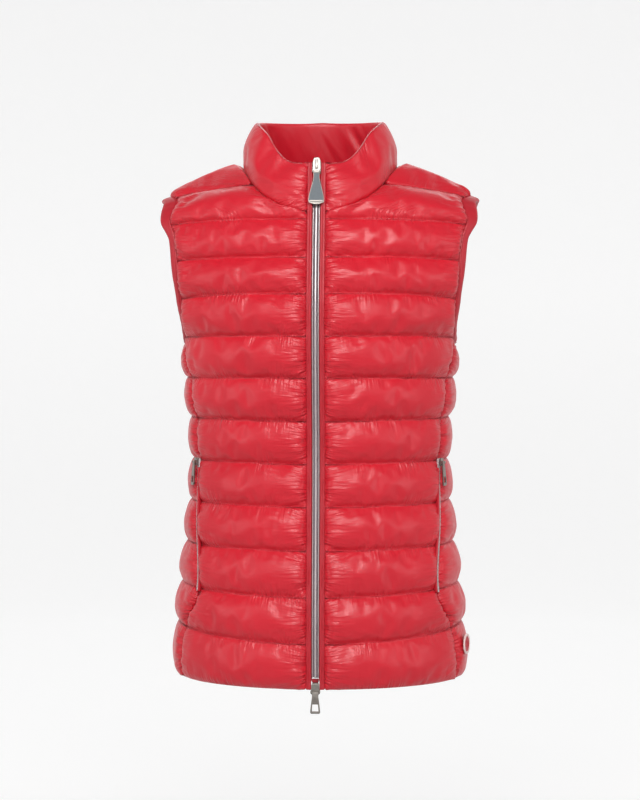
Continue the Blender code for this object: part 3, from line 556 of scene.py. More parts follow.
def back_chart(share, level):
    if level <= TOP_ROW:
        edge = panel_edge(level, False)
        return between(edge, 2 * pi - edge, share), level
    climb = (level - TOP_ROW) / 2
    low_edge, high_edge = back_edge_over(TOP_ROW), back_top(0.0)[0]
    bow = back_edge_over(back_yoke_row(0.0, climb)) - between(low_edge, high_edge, climb)
    angle = between(between(low_edge, 2 * pi - low_edge, share), back_top(share)[0], climb)
    nearness = max(1 - abs(min(share, 1 - share) - NECK_CORNER_SHARE) / NECK_BOW_REACH, 0)
    swing = NECK_BOW * nearness * (1 if share < 0.5 else -1) * sin(pi * max(climb * 2 - 1, 0))
    return angle + bow * (1 - 2 * share) - swing, back_yoke_row(share, climb)


print("Charts for the fronts, the sides and the back are ready")

# %% How full the padding is before it is blown up
CROWN_SAG = 0.85
CROWN_ROUND = 0.7
EDGE_REACH = 16.0
START_SHARE = 0.8


def crown(level):
    """0 at a seam and 1 at a baffle's crown, which sags towards the seam below."""
    share = level % 1.0
    return sin(pi * share**CROWN_SAG) ** CROWN_ROUND if 0 < share < 1 else 0.0


def edge_ease(distance):
    """Rises from 0 at a panel's edge to 1, like a quarter of a circle."""
    near = min(distance / EDGE_REACH, 1.0)
    return sqrt(1 - (1 - near) ** 2)


def levels_of(first, last, steps):
    return [first + i / steps for i in range((last - first) * steps + 1)]


def grid_lengths(points, axis):
    steps = np.linalg.norm(np.diff(points, axis=axis), axis=2)
    start = np.zeros_like(np.take(steps, [0], axis=axis))
    return np.concatenate([start, np.cumsum(steps, axis=axis)], axis=axis)


def grid_normals(points, side):
    """Outward directions of a grid whose columns run round the body and whose rows run up."""
    across, up = np.gradient(points, axis=1), np.gradient(points, axis=0)
    normals = np.cross(across, up) * side
    return normals / np.maximum(np.linalg.norm(normals, axis=2, keepdims=True), 1e-9)


print(f"A baffle starts at {START_SHARE:.0%} of its full height")

# %% Building one padded slab
LINING_STEP = 2


def build_slab(name, spine, outs, outer, lining, levels):
    """A closed slab: a fine shell grid, a lining grid of every second point, and a rim between.

    spine and outs are grids of points and directions, outer and lining how far each layer stands
    off, all in millimetres. The shell is a rectangle of columns and rows, so its faces are worked
    out from their place in the grid.
    """
    rows, columns = spine.shape[0] - 1, spine.shape[1] - 1
    shell = (spine + outs * outer[..., None]).reshape(-1, 3)
    inner = (spine + outs * lining[..., None])[::LINING_STEP, ::LINING_STEP]
    inner_columns = inner.shape[1]

    def shell_at(row, column):
        return row * (columns + 1) + column

    def lining_at(row, column):
        return len(shell) + row // LINING_STEP * inner_columns + column // LINING_STEP

    faces = [
        (shell_at(r, c), shell_at(r, c + 1), shell_at(r + 1, c + 1), shell_at(r + 1, c))
        for r in range(rows)
        for c in range(columns)
    ]
    for r in range(0, rows, LINING_STEP):
        for c in range(0, columns, LINING_STEP):
            corners = [(r, c), (r + 2, c), (r + 2, c + 2), (r, c + 2)]
            faces.append(tuple(lining_at(*corner) for corner in corners))
    for c in range(0, columns, LINING_STEP):
        for r in (0, rows):
            rim = [shell_at(r, c + i) for i in range(3)] + [lining_at(r, c + 2), lining_at(r, c)]
            faces.append(tuple(rim[::-1] if r == 0 else rim))
    for r in range(0, rows, LINING_STEP):
        for c in (0, columns):
            rim = [shell_at(r + i, c) for i in range(3)] + [lining_at(r + 2, c), lining_at(r, c)]
            faces.append(tuple(rim if c == 0 else rim[::-1]))
    points = np.concatenate([shell, inner.reshape(-1, 3)]) * MM
    mesh = bpy.data.meshes.new(name)
    mesh.from_pydata(points.tolist(), [], faces)
    bm = bmesh.new()
    bm.from_mesh(mesh)
    bmesh.ops.recalc_face_normals(bm, faces=bm.faces)
    if bm.calc_volume(signed=True) < 0:
        bmesh.ops.reverse_faces(bm, faces=bm.faces)
    bm.to_mesh(mesh)
    bm.free()
    piece = bpy.data.objects.new(name, mesh)
    bpy.context.collection.objects.link(piece)

    along, height = grid_lengths(spine, 1), grid_lengths(spine, 0)
    facts = {
        "along": along,
        "from_edge": np.minimum(along, along[:, -1:] - along),
        "height": np.broadcast_to(height.mean(axis=1, keepdims=True), along.shape),
        "level": np.broadcast_to(np.array(levels)[:, None], along.shape),
        "shell": np.ones_like(along),
    }
    for fact, grid in facts.items():
        lining_part = grid[::LINING_STEP, ::LINING_STEP] if fact != "shell" else np.zeros(inner.shape[:2])
        values = np.concatenate([grid.reshape(-1), lining_part.reshape(-1)])
        mesh.attributes.new(fact, "FLOAT", "POINT").data.foreach_set("value", values)
    seams = [abs(level - round(level)) < 1e-6 for level in levels]
    pinned = [
        shell_at(r, c) for r in range(rows + 1) for c in range(columns + 1) if seams[r] or c in (0, columns)
    ]
    pins = piece.vertex_groups.new(name="sewn")
    pins.add(pinned + list(range(len(shell), len(points))), 1.0, "REPLACE")
    mark_seams(mesh, set(pinned))
    return piece


def mark_seams(mesh, pinned):
    """Creases the seam lines, so that later smoothing keeps each one a sharp valley."""
    crease = mesh.attributes.new("crease_edge", "FLOAT", "EDGE")
    ends = np.zeros(len(mesh.edges) * 2, np.int32)
    mesh.edges.foreach_get("vertices", ends)
    sewn = np.isin(ends, list(pinned)).reshape(-1, 2).all(axis=1)
    crease.data.foreach_set("value", sewn * 0.9)


print("A slab of 4 by 4 cells has", 5 * 5 + 3 * 3, "points")

# %% Laying out the panels
CELL = 3.6
BAFFLE_STEPS = 14
YOKE_STEPS = 16


def torso_panel(name, chart, side, columns, levels):
    spine = np.array(
        [
            [mirrored(side, torso_point(*chart(c / columns, level))) for c in range(columns + 1)]
            for level in levels
        ]
    )
    angles = np.array([[chart(c / columns, level)[0] for c in range(columns + 1)] for level in levels])
    outs = grid_normals(spine, side)
    along = grid_lengths(spine, 1)
    from_edge = np.minimum(along, along[:, -1:] - along)
    full = np.array([crown(level) for level in levels])[:, None] * np.vectorize(edge_ease)(from_edge)
    loft = FRONT_LOFT + (SIDE_LOFT - FRONT_LOFT) * np.abs(np.sin(angles)) ** 6
    wobble = np.array([[noise.noise(Vector(p) / 14.0) for p in line] for line in spine])
    outer = full * (loft * START_SHARE + wobble * 0.6)
    lining = -WALL - LINING_LOFT * full
    return build_slab(name, spine, outs, outer, lining, levels)


def even(length):
    return 2 * round(length / CELL / 2)


def make_torso_panels():
    panels = {}
    front_levels = levels_of(0, TOP_ROW, BAFFLE_STEPS) + levels_of(TOP_ROW, TOP_ROW + 1, YOKE_STEPS)[1:]
    back_levels = levels_of(0, TOP_ROW, BAFFLE_STEPS) + levels_of(TOP_ROW, TOP_ROW + 2, YOKE_STEPS)[1:]
    side_levels = levels_of(0, SIDE_TOP_ROW, BAFFLE_STEPS)
    for side, name in SIDES:
        panels[f"front_{name}"] = torso_panel(
            f"quilted_front_{name}", front_chart, side, even(175), front_levels
        )
        panels[f"side_{name}"] = torso_panel(
            f"quilted_side_{name}", side_chart, side, even(125), side_levels
        )
    panels["back"] = torso_panel("quilted_back", back_chart, 1, even(340), back_levels)
    return panels


panels = make_torso_panels()
for panel in panels.values():
    print(panel.name, len(panel.data.vertices), "points")

# %% [markdown]
# The collar is one padded band that stands on the neck seam. Its chart goes round the neck and
# climbs from the seam to the rim, so it gets a grid of its own, but the same slab.

# %% The collar
COLLAR_STEPS = 26


def neck_seam(around):
    side = 1 if around <= pi else -1
    angle, row = neck_chart(min(around, 2 * pi - around))
    return mirrored(side, torso_point(angle, row)), mirrored(side, outward(angle, row))


def collar_rim(around):
    height = smooth_column(COLLAR_TOP, 1, degrees(min(around, 2 * pi - around)))
    depth = COLLAR_FRONT_DEPTH if cos(around) > 0 else COLLAR_BACK_DEPTH
    return Vector((COLLAR_HALF_WIDTH * sin(around), -depth * cos(around), height))


def make_collar():
    columns = even(430)
    spine = np.zeros((COLLAR_STEPS + 1, columns + 1, 3))
    outs, outer, lining = np.zeros_like(spine), np.zeros(spine.shape[:2]), np.zeros(spine.shape[:2])
    for c in range(columns + 1):
        around = between(NECK_START, 2 * pi - NECK_START, c / columns)
        base, base_out = neck_seam(around)
        rim = collar_rim(around)
        rim_out = Vector((sin(around), -cos(around), 0))
        if c in (0, columns):
            rim.x = base.x = PANEL_START * (1 if c == 0 else -1)
            base_out.x = rim_out.x = 0
        start = base + (rim - base).normalized() * SEAM_GAP
        for r in range(COLLAR_STEPS + 1):
            climb = r / COLLAR_STEPS
            full = sin(pi * climb) ** 0.8
            spine[r, c] = start.lerp(rim, climb)
            outs[r, c] = base_out.lerp(rim_out, min(climb * 2, 1)).normalized()
            outer[r, c] = COLLAR_LOFT * full
            lining[r, c] = -between(WALL, COLLAR_WALL, climb) - COLLAR_LOFT * 0.5 * full
    along = grid_lengths(spine, 1)
    from_edge = np.minimum(along, along[:, -1:] - along)
    eased = np.vectorize(edge_ease)(from_edge)
    lining = np.where(eased < 1, lining * (0.4 + 0.6 * eased), lining)
    levels = [r / COLLAR_STEPS for r in range(COLLAR_STEPS + 1)]
    return build_slab("quilted_collar", spine, outs, outer * eased, lining, levels)


panels["collar"] = make_collar()
print("quilted_collar", len(panels["collar"].data.vertices), "points")

# %% Blowing the padding up
PRESSURE = 4.0
SPARE_CLOTH = 0.012
FRAMES = 20
MOST_MOVED = 7.0 * MM


def add_cloth(piece):
    cloth = piece.modifiers.new("down", "CLOTH")
    settings = cloth.settings
    settings.quality = 5
    settings.mass = 0.2
    settings.tension_stiffness = settings.compression_stiffness = 20
    settings.shear_stiffness = 6
    settings.bending_stiffness = 4.0
    settings.vertex_group_mass = "sewn"
    settings.use_pressure = True
    settings.uniform_pressure_force = PRESSURE
    settings.shrink_min = -SPARE_CLOTH
    settings.effector_weights.gravity = 0
    cloth.point_cache.frame_end = FRAMES
    cloth.collision_settings.use_collision = False


def points_of(mesh):
    flat = np.zeros(len(mesh.vertices) * 3)
    mesh.vertices.foreach_get("co", flat)
    return flat.reshape(-1, 3)


def apply_modifier(piece, name):
    bpy.context.view_layer.objects.active = piece
    bpy.ops.object.modifier_apply(modifier=name)


def blow_up(pieces):
    before = {piece.name: points_of(piece.data) for piece in pieces}
    for piece in pieces:
        add_cloth(piece)
    for number in range(1, FRAMES + 1):
        bpy.context.scene.frame_set(number)
    for piece in pieces:
        apply_modifier(piece, "down")
        moved = points_of(piece.data) - before[piece.name]
        distance = np.linalg.norm(moved, axis=1, keepdims=True)
        kept = MOST_MOVED * np.tanh(distance / MOST_MOVED) / np.maximum(distance, 1e-9)
        piece.data.vertices.foreach_set("co", (before[piece.name] + moved * kept).reshape(-1))
        most, mean = distance.max() / MM, distance.mean() / MM
        print(piece.name, f"swelled by up to {most:.1f} mm, {mean:.1f} on average")
    bpy.context.scene.frame_set(1)


blow_up(list(panels.values()))

# %% [markdown]
# ## Smoothing and gathers
#
# The simulated grid has a point every 3.6 mm, which is enough for the baffles and their larger
# folds. One level of subdivision rounds it, and the creased seams stay sharp. The finest gathers,
# a few millimetres apart, are too small for the simulation. They follow a rule, though: each starts
# at a stitch, runs at right angles to the seam and dies out. So they are added as small moves along
# the surface's normals, from noise that is stretched away from the seam. Creases finer still are
# left to the nylon's bumps. Four numbers on each point tell it where they run: "fan" and "tick"
# count along the zip and along a baffle's seam, and "beside_zip" and "beside_seam" fade with the
# distance. The lining has no gathers, only broad folds, because it is cut a little loose.

# %% Subdivision and fine gathers
ZIP_GATHER = {"spacing": 7.5, "reach": 14.0, "height": 1.9}
SEAM_GATHER = {"spacing": 7.0, "reach": 7.0, "height": 1.2}
SHARPNESS = 2.2
PATCH_LENGTH = 38.0
LINING_FOLD = 4.0
CREASE_SPACING = 3.2
ZIP_CREASE_REACH, SEAM_CREASE_REACH = 20, 7


def read_fact(mesh, fact):
    values = np.zeros(len(mesh.vertices))
    mesh.attributes[fact].data.foreach_get("value", values)
    return values


def gather(along_seam, away, kind, seed, patchiness=0.0):
    """How far a fold lifts the cloth: along_seam and away are distances from the seam's start."""
    stretched = Vector((along_seam / kind["spacing"], away / (kind["reach"] * 2.5), seed))
    fold = 0.5 - SHARPNESS * abs(noise.noise(stretched))
    patch = noise.noise(Vector((along_seam / PATCH_LENGTH, seed * 3.1, 7.7)))
    strength = max(1 - patchiness + patchiness * 2.2 * patch, 0.0)
    fade = np.exp(-away / kind["reach"]) * min(away / 1.5, 1.0)
    return kind["height"] * fold * fade * strength


def smooth_and_gather(piece, zip_seed, baffle_height=50.0):
    subdivision = piece.modifiers.new("round", "SUBSURF")
    subdivision.levels = subdivision.render_levels = 1
    apply_modifier(piece, "round")
    mesh = piece.data
    along, height = read_fact(mesh, "along"), read_fact(mesh, "height")
    from_edge, level, shell = (read_fact(mesh, fact) for fact in ("from_edge", "level", "shell"))
    normals = np.zeros(len(mesh.vertices) * 3)
    mesh.vertices.foreach_get("normal", normals)
    share = level % 1.0
    from_seam = np.minimum(share, 1 - share) * baffle_height
    seam_number = np.round(level)
    lift = np.zeros(len(mesh.vertices))
    creases = np.zeros((len(mesh.vertices), 4))
    for i in np.nonzero(shell < 0.1)[0]:
        fold = noise.noise(Vector((along[i] / 9, height[i] / 90, zip_seed + 40)))
        lift[i] = LINING_FOLD * fold * sin(pi * share[i]) * min(from_edge[i] / 8, 1)
    for i in np.nonzero(shell > 0.9)[0]:
        fan = (share[i] - 0.5) * baffle_height / (1 + from_edge[i] / 45)
        at_edge = gather(
            fan + np.floor(level[i]) * 170, from_edge[i], ZIP_GATHER, zip_seed + (along[i] > 60)
        )
        below = 0.37 if share[i] < 0.5 else 0.0
        at_seam = gather(along[i], from_seam[i], SEAM_GATHER, seam_number[i] + below + zip_seed, 0.75)
        lift[i] = at_edge + at_seam * min(from_edge[i] / 6, 1)
        beside_zip = np.exp(-from_edge[i] / ZIP_CREASE_REACH)
        patch = noise.noise(Vector((along[i] / 30, seam_number[i] * 3.1 + below, zip_seed)))
        beside_seam = np.exp(-from_seam[i] / SEAM_CREASE_REACH) * max(0.35 + 2.0 * patch, 0)
        creases[i] = (fan / CREASE_SPACING, along[i] / CREASE_SPACING, beside_zip, beside_seam)
    for number, fact in enumerate(("fan", "tick", "beside_zip", "beside_seam")):
        mesh.attributes.new(fact, "FLOAT", "POINT").data.foreach_set("value", creases[:, number])
    moved = points_of(mesh) + normals.reshape(-1, 3) * lift[:, None] * MM
    mesh.vertices.foreach_set("co", moved.reshape(-1))
    mesh.shade_smooth()
    print(piece.name, len(mesh.polygons) * 2, "triangles, gathers up to", round(np.abs(lift).max(), 2), "mm")


for number, panel in enumerate(panels.values()):
    smooth_and_gather(panel, 11.0 + 5.3 * number)

# %% [markdown]
# ## The nylon
#
# The shell is 20 denier nylon taffeta, calendered: hot rollers press one face until the threads
# melt flat, which makes it down-proof and glossy. The threads are about 0.1 mm apart, too fine to
# show, so the weave is drawn at 0.6 mm and very shallow. What the eye does see is the broad, satin
# highlight on each baffle and a dry crinkle of a few millimetres where the cloth was pressed.

# %% Calendered nylon taffeta
SHELL_RED = "#D4162A"
SHELL_RED_DEEP = "#C40E24"
THREAD = 0.6 * MM
CRINKLE = 6.0 * MM
CREASES = (
    # along the seam, across it, how near it is, scale across, depth
    ("fan", "from_edge", "beside_zip", 0.035, 4.0 * MM),
    ("tick", "level", "beside_seam", 2.0, 3.0 * MM),
)


def make_nylon():
    material, tree, surface = new_material("calendered_nylon_taffeta")
    place = add_node(tree, "ShaderNodeTexCoord").outputs["Object"]
    cloudy = add_node(tree, "ShaderNodeTexNoise", Vector=place, Scale=9.0, Detail=2.0)
    colour = add_node(
        tree, "ShaderNodeMix", {"data_type": "RGBA"}, Factor=cloudy.outputs["Fac"],
        i6=linear(SHELL_RED), i7=linear(SHELL_RED_DEEP),
    )
    crinkle = add_node(
        tree, "ShaderNodeTexNoise",
        Vector=place, Scale=1 / CRINKLE, Detail=3.0, Roughness=0.55, Distortion=0.6,
    )
    warp = add_node(tree, "ShaderNodeTexWave", {"bands_direction": "X"}, Vector=place, Scale=0.05 / THREAD)
    weft = add_node(tree, "ShaderNodeTexWave", {"bands_direction": "Z"}, Vector=place, Scale=0.05 / THREAD)
    weave = add_node(
        tree, "ShaderNodeMath", {"operation": "ADD"}, i0=warp.outputs["Fac"], i1=weft.outputs["Fac"]
    )
    pressed = add_node(
        tree, "ShaderNodeBump", Strength=0.35, Distance=0.25 * MM, Height=crinkle.outputs["Fac"]
    )
    for along_seam, across_seam, beside, across_scale, depth in CREASES:
        along, across, near = (
            add_node(tree, "ShaderNodeAttribute", {"attribute_name": name}).outputs["Fac"]
            for name in (along_seam, across_seam, beside)
        )
        away = add_node(tree, "ShaderNodeMath", {"operation": "MULTIPLY"}, i0=across, i1=across_scale)
        spot = add_node(tree, "ShaderNodeCombineXYZ", X=along, Y=away.outputs[0])
        folds = add_node(tree, "ShaderNodeTexNoise", Vector=spot.outputs["Vector"], Scale=1.0, Detail=1.0)
        height = add_node(
            tree, "ShaderNodeMath", {"operation": "MULTIPLY"}, i0=folds.outputs["Fac"], i1=near
        )
        pressed = add_node(
            tree, "ShaderNodeBump", Strength=1.0, Distance=depth, Height=height.outputs[0],
            Normal=pressed.outputs["Normal"],
        )
    woven = add_node(
        tree, "ShaderNodeBump", Strength=0.12, Distance=0.03 * MM, Height=weave.outputs[0],
        Normal=pressed.outputs["Normal"],
    )
    rough = add_node(
        tree, "ShaderNodeMapRange",
        Value=crinkle.outputs["Fac"], From_Min=0.3, From_Max=0.7, To_Min=0.34, To_Max=0.46,
    )
    tree.links.new(colour.outputs[2], surface.inputs["Base Color"])
    tree.links.new(rough.outputs["Result"], surface.inputs["Roughness"])
    tree.links.new(woven.outputs["Normal"], surface.inputs["Normal"])
    surface.inputs["IOR"].default_value = 1.53
    surface.inputs["Sheen Weight"].default_value = 0.12
    surface.inputs["Sheen Roughness"].default_value = 0.45
    surface.inputs["Sheen Tint"].default_value = linear("#FFD8D8")
    return material


NYLON = make_nylon()
print("Weave", THREAD / MM, "mm, crinkle", CRINKLE / MM, "mm")

# %% [markdown]
# ## Bindings, tapes and welts
#
# The thin cloth pieces are folded strips. Each is drawn as its cross-section, a short open line,
# which is carried along the seam it is sewn to; Solidify then gives it the cloth's thickness and a
# level of subdivision rounds the folds. An elastic binding puckers between its stitches, and that is
# a little noise on the section's outer points.

# %% A folded strip carried along a seam
CLOTH_THICKNESS = 0.45 * MM


def apply_all(piece):
    for modifier in list(piece.modifiers):
        apply_modifier(piece, modifier.name)


def folded_strip(name, stations, closed):
    """stations is a list of cross-sections in millimetres, each a list of points in the same order."""
    wide = len(stations[0])
    count = len(stations)
    points = [tuple(Vector(point) * MM) for station in stations for point in station]
    faces = [
        (i * wide + j, i * wide + j + 1, (i + 1) % count * wide + j + 1, (i + 1) % count * wide + j)
        for i in range(count if closed else count - 1)
        for j in range(wide - 1)
    ]
    mesh = bpy.data.meshes.new(name)
    mesh.from_pydata(points, [], faces)
    strip = bpy.data.objects.new(name, mesh)
    bpy.context.collection.objects.link(strip)
    solid = strip.modifiers.new("cloth", "SOLIDIFY")
    solid.thickness, solid.offset = CLOTH_THICKNESS, 0
    rounding = strip.modifiers.new("round", "SUBSURF")
    rounding.levels = rounding.render_levels = 1
    apply_all(strip)
    strip.data.shade_smooth()
    return strip


def section_length(station):
    return sum((Vector(b) - Vector(a)).length for a, b in zip(station, station[1:]))


def dress(piece, node, material, body="vest"):
    """What every finished piece needs: its material, the body it rides on and the node it replaces."""
    piece.data.materials.clear()
    piece.data.materials.append(material)
    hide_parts(node)
    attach(piece, body)
    return piece


# %% Elastic binding and woven tape
RIB = 0.9 * MM
TWILL = 0.8 * MM

# The shell's own nylon, cut on the bias and folded: less glossy, with a fine rib and small puckers.
BINDING = patterned(
    "bias_cut_nylon_binding", ("#C01B2B", "#AE1526"),
    (WAVE, 0.05 / RIB, 0.25, 0.05, {}),
    (NOISE, 120.0, 0.3, 0.3, {"Detail": 3.0}),
    roughness=0.46, IOR=1.53,
)
# Polyester zip tape, woven in a herringbone twill: matt, darker than the shell.
TAPE = patterned(
    "woven_polyester_zip_tape", ("#7E0E1B", "#9E1322"),
    (WAVE, 0.05 / TWILL, 0.5, 0.12, {"Distortion": 1.0}),
    roughness=0.82, Sheen_Weight=0.2,
)
print("Binding rib", RIB / MM, "mm, tape twill", TWILL / MM, "mm")

# %% The armhole bindings
BINDING_STATIONS = 112
PUCKER = 4.5
SHOULDER_FILL, FILL_TURN = 8.0, 1.15


def loop_point(loop, turn):
    """A point of an armhole loop on the stitch surface, and the outward direction there."""
    towards_front = sin(turn) > 0
    depth = loop["front_depth"] if towards_front else loop["back_depth"]
    y = -depth * sin(turn)
    z = loop["centre"] + loop["half_height"] * cos(turn)

    def angle_at(row):
        def too_deep(angle):
            return abs(torso_point(angle, row).y) - abs(y)

        far = radians(5) if towards_front else radians(175)
        return find_root(too_deep, far, pi / 2, 32) if too_deep(far) > 0 else far

    rows = (SIDE_TOP_ROW - 2, RIDGE_ROW - 0.001)
    row = find_root(lambda row: torso_point(angle_at(row), row).z - z, *rows, 32)
    angle = angle_at(row)
    return torso_point(angle, row), outward(angle, row)


def binding_section(turn):
    """Round the armhole's edge: up the lining, over the fold, and down to the stitches outside."""
    stitch, out = loop_point(STITCH_LOOP, turn)
    opening, edge_out = loop_point(OPENING_LOOP, turn)
    if turn < FILL_TURN:
        opening.x += SHOULDER_FILL * sin(pi * turn / FILL_TURN)
    inwards = (opening - stitch).normalized()
    pucker = 1 + 0.45 * noise.noise(Vector((turn * 75 / PUCKER, 0.3, 5.1)))
    return [
        stitch + inwards * 0.6 - out * 3.0,
        stitch + inwards * 3.6 - out * 4.0,
        opening - edge_out * 3.6,
        opening + inwards * 0.9 - edge_out * 2.2,
        opening + inwards * 1.1 - edge_out * 0.6,
        opening + edge_out * 0.8 * pucker,
        opening - inwards * 2.2 + edge_out * 1.7 * pucker,
        stitch + inwards * 1.6 + out * 1.5 * pucker,
        stitch + inwards * 0.3 + out * 0.3,
        stitch - inwards * 0.2 - out * 0.8,
    ]


def make_armhole_bindings():
    sections = [binding_section(2 * pi * (i + 0.5) / BINDING_STATIONS) for i in range(BINDING_STATIONS)]
    wide = section_length(sections[0])
    for side, name in SIDES:
        stations = [[mirrored(side, point) for point in section] for section in sections]
        strip = folded_strip(f"bound_armhole_{name}", stations, True)
        dress(strip, f"armhole_binding_{name}", BINDING)
    return sections


armhole_sections = make_armhole_bindings()

# %% The line of the front zip
HEM_HEIGHT = QUILT_ROWS[0][0]
COLLAR_FRONT_TOP = COLLAR_TOP[0][1]
CHAIN_HALF_WIDTH = 4.0
CHAIN_BOTTOM, CHAIN_TOP = -590.0, -18.0
STOP_BOTTOM = -595.0
STRIP_GAP = 0.4


def placket_depth(height):
    """How far forward the centre front is: the panels up to the neck, then the leaning collar."""
    neck_depth = -torso_point(*neck_chart(0.0)).y
    top_seam = QUILT_ROWS[TOP_ROW][0]
    if height <= top_seam:
        return smooth_column(FIGURE_RINGS, 2, height)
    if height <= NECK_FRONT_HEIGHT:
        share = (height - top_seam) / (NECK_FRONT_HEIGHT - top_seam)
        return between(smooth_column(FIGURE_RINGS, 2, top_seam), neck_depth, share)
    share = (height - NECK_FRONT_HEIGHT) / (COLLAR_FRONT_TOP - NECK_FRONT_HEIGHT)
    return between(neck_depth, COLLAR_FRONT_DEPTH, share)


def placket_frame(height):
    """A point of the centre front, the direction down the zip, and the outward direction."""
    step = 4.0
    above = Vector((0, -placket_depth(height + step), height + step))
    below = Vector((0, -placket_depth(height - step), height - step))
    down = (below - above).normalized()
    outwards = down.cross(Vector((1, 0, 0))).normalized()
    if outwards.y > 0:
        outwards.negate()
    return Vector((0, -placket_depth(height), height)), down, outwards


def zip_strip(name, side, section, bottom, top, spacing, closed_pucker=0.0):
    """A strip along the zip: section gives (across, out) pairs, and closed_pucker how much it waves."""
    count = round((top - bottom) / spacing)
    stations = []
    for i in range(count + 1):
        height = between(bottom, top, i / count)
        point, _, outwards = placket_frame(height)
        wave = closed_pucker * noise.noise(Vector((height / 5.0, side * 3.0, 1.7)))
        stations.append(
            [
                point + Vector((side * across, 0, 0)) + outwards * (out + wave * (out > 0))
                for across, out in section
            ]
        )
    return folded_strip(name, stations, False)


# %% The zip's bindings and tapes
BINDING_FOLD = (
    # across, out: from the seam under the panel, along the tape, round the lip and back on top
    (10.2, -1.4), (7.6, -1.6), (5.6, -1.5), (4.9, -0.9), (4.8, 0.2), (5.2, 1.4),
    (6.0, 1.7), (6.9, 1.2), (7.7, 0.5), (8.9, 0.3), (9.9, 0.5), (10.8, -0.6),
)
TAPE_SECTION = ((3.6, -2.7), (6.0, -2.7), (9.0, -2.7), (12.8, -2.7))


def make_zip_cloth():
    for side, name in SIDES:
        band = zip_strip(f"zip_facing_{name}", side, BINDING_FOLD, HEM_HEIGHT, COLLAR_FRONT_TOP, 4.0, 0.5)
        dress(band, f"zip_binding_{name}", BINDING)
        wide = section_length([Vector((x, y, 0)) for x, y in BINDING_FOLD])
        tape = zip_strip(f"woven_tape_{name}", side, TAPE_SECTION, STOP_BOTTOM, CHAIN_TOP, 12.0)
        dress(tape, f"zip_tape_{name}", TAPE)
        print(band.name, f"{wide:.1f} mm of cloth in its fold")


make_zip_cloth()

# %% [markdown]
# ## Zip coils
#
# A coil zip is one plastic thread wound into a spring and sewn to the edge of each tape. From the
# front each turn shows as a short bead across the tape, and the beads of the two sides lock in the
# middle. Here the plastic has a thin coat of metal. One bead is modelled and copied along the line.

# %% One bead and its copies
BEAD_PITCH = 1.5


def bead_shape(length, width, height):
    """A squashed ball, as points and faces, lying along X."""
    deselect_all()
    bpy.ops.mesh.primitive_uv_sphere_add(segments=8, ring_count=5, radius=1, rotation=(0, pi / 2, 0))
    ball = bpy.context.object
    bpy.ops.object.transform_apply(rotation=True)
    points = points_of(ball.data) * np.array([length / 2, width / 2, height / 2])
    faces = [tuple(face.vertices) for face in ball.data.polygons]
    bpy.data.objects.remove(ball, do_unlink=True)
    return points, faces


def copies(name, shape, frames):
    """One mesh of a shape repeated at each frame: (place, x_axis, y_axis, z_axis), in millimetres."""
    points, faces = shape
    every, all_faces = [], []
    for place, *axes in frames:
        start = len(every) * len(points)
        every.append(np.array(place) + points @ np.array([list(axis) for axis in axes]))
        all_faces += [tuple(i + start for i in face) for face in faces]
    mesh = bpy.data.meshes.new(name)
    mesh.from_pydata((np.concatenate(every) * MM).tolist(), [], all_faces)
    piece = bpy.data.objects.new(name, mesh)
    bpy.context.collection.objects.link(piece)
    mesh.shade_smooth()
    return piece


def join(pieces, name):
    deselect_all()
    for piece in pieces:
        piece.select_set(True)
    bpy.context.view_layer.objects.active = pieces[0]
    bpy.ops.object.join()
    pieces[0].name = pieces[0].data.name = name
    return pieces[0]


def coil_frames(line, half_width, level):
    """Beads of both sides of a zip, half a pitch apart, from a function of distance along it."""
    frames = []
    count = int(line["length"] / BEAD_PITCH)
    for i in range(count):
        for side in (1, -1):
            point, across, down, out = line["at"]((i + 0.25 + 0.5 * (side > 0)) * BEAD_PITCH)
            place = point + across * side * half_width * 0.36 + out * level
            frames.append((place, across, down, out))
    return frames


def front_zip_at(distance):
    point, down, outwards = placket_frame(CHAIN_TOP - distance)
    return point, Vector((1, 0, 0)), down, outwards


# %% Metal-coated coils
def make_coil_metal(name, bright, dull):
    """Vacuum-metallised polyester: bright where it is new, mauve grey where the coat is thin."""
    return patterned(
        name, (bright, dull), (NOISE, 700.0, 0, 0, {"Detail": 2.0}), roughness=(0.28, 0.5), Metallic=0.75
    )


COIL = make_coil_metal("metallised_polyester_coil", "#A4969C", "#84757C")
CORD = make_coil_metal("silver_coated_cord", "#E4DEDE", "#C4BCBC")


def make_front_zip():
    line = {"length": CHAIN_TOP - CHAIN_BOTTOM, "at": front_zip_at}
    beads = copies("zip_beads", bead_shape(4.6, 1.15, 1.9), coil_frames(line, CHAIN_HALF_WIDTH, -1.9))
    edges = []
    for side in (1, -1):
        rib = ((2.9, -2.4), (3.05, -1.35), (3.5, -1.0), (3.9, -1.35), (4.0, -2.4))
        edges.append(zip_strip(f"zip_rib_{side}", side, rib, CHAIN_BOTTOM, CHAIN_TOP, 12.0))
    cord = ((-0.9, -1.6), (-0.8, -0.95), (0.0, -0.65), (0.8, -0.95), (0.9, -1.6))
    edges.append(zip_strip("zip_cord", 1, cord, CHAIN_BOTTOM, CHAIN_TOP, 12.0))
    bed = ((-3.9, -3.1), (-1.3, -3.1), (1.3, -3.1), (3.9, -3.1))
    coils = join([beads, zip_strip("zip_bed", 1, bed, CHAIN_BOTTOM, CHAIN_TOP, 12.0)], "zip_coils")
    dress(coils, "zip_chain", COIL)
    cords = join(edges, "zip_cords")
    cords.data.materials.append(CORD)
    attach(cords, "vest")
    print("zip_coils", len(coils.data.polygons), "faces,", int(line["length"] / BEAD_PITCH), "beads a side")


make_front_zip()

# %% [markdown]
# ## The pockets
#
# Each pocket lies in the seam between the front and the side panel. Its zip is a narrower coil with
# a folded welt along its front edge.

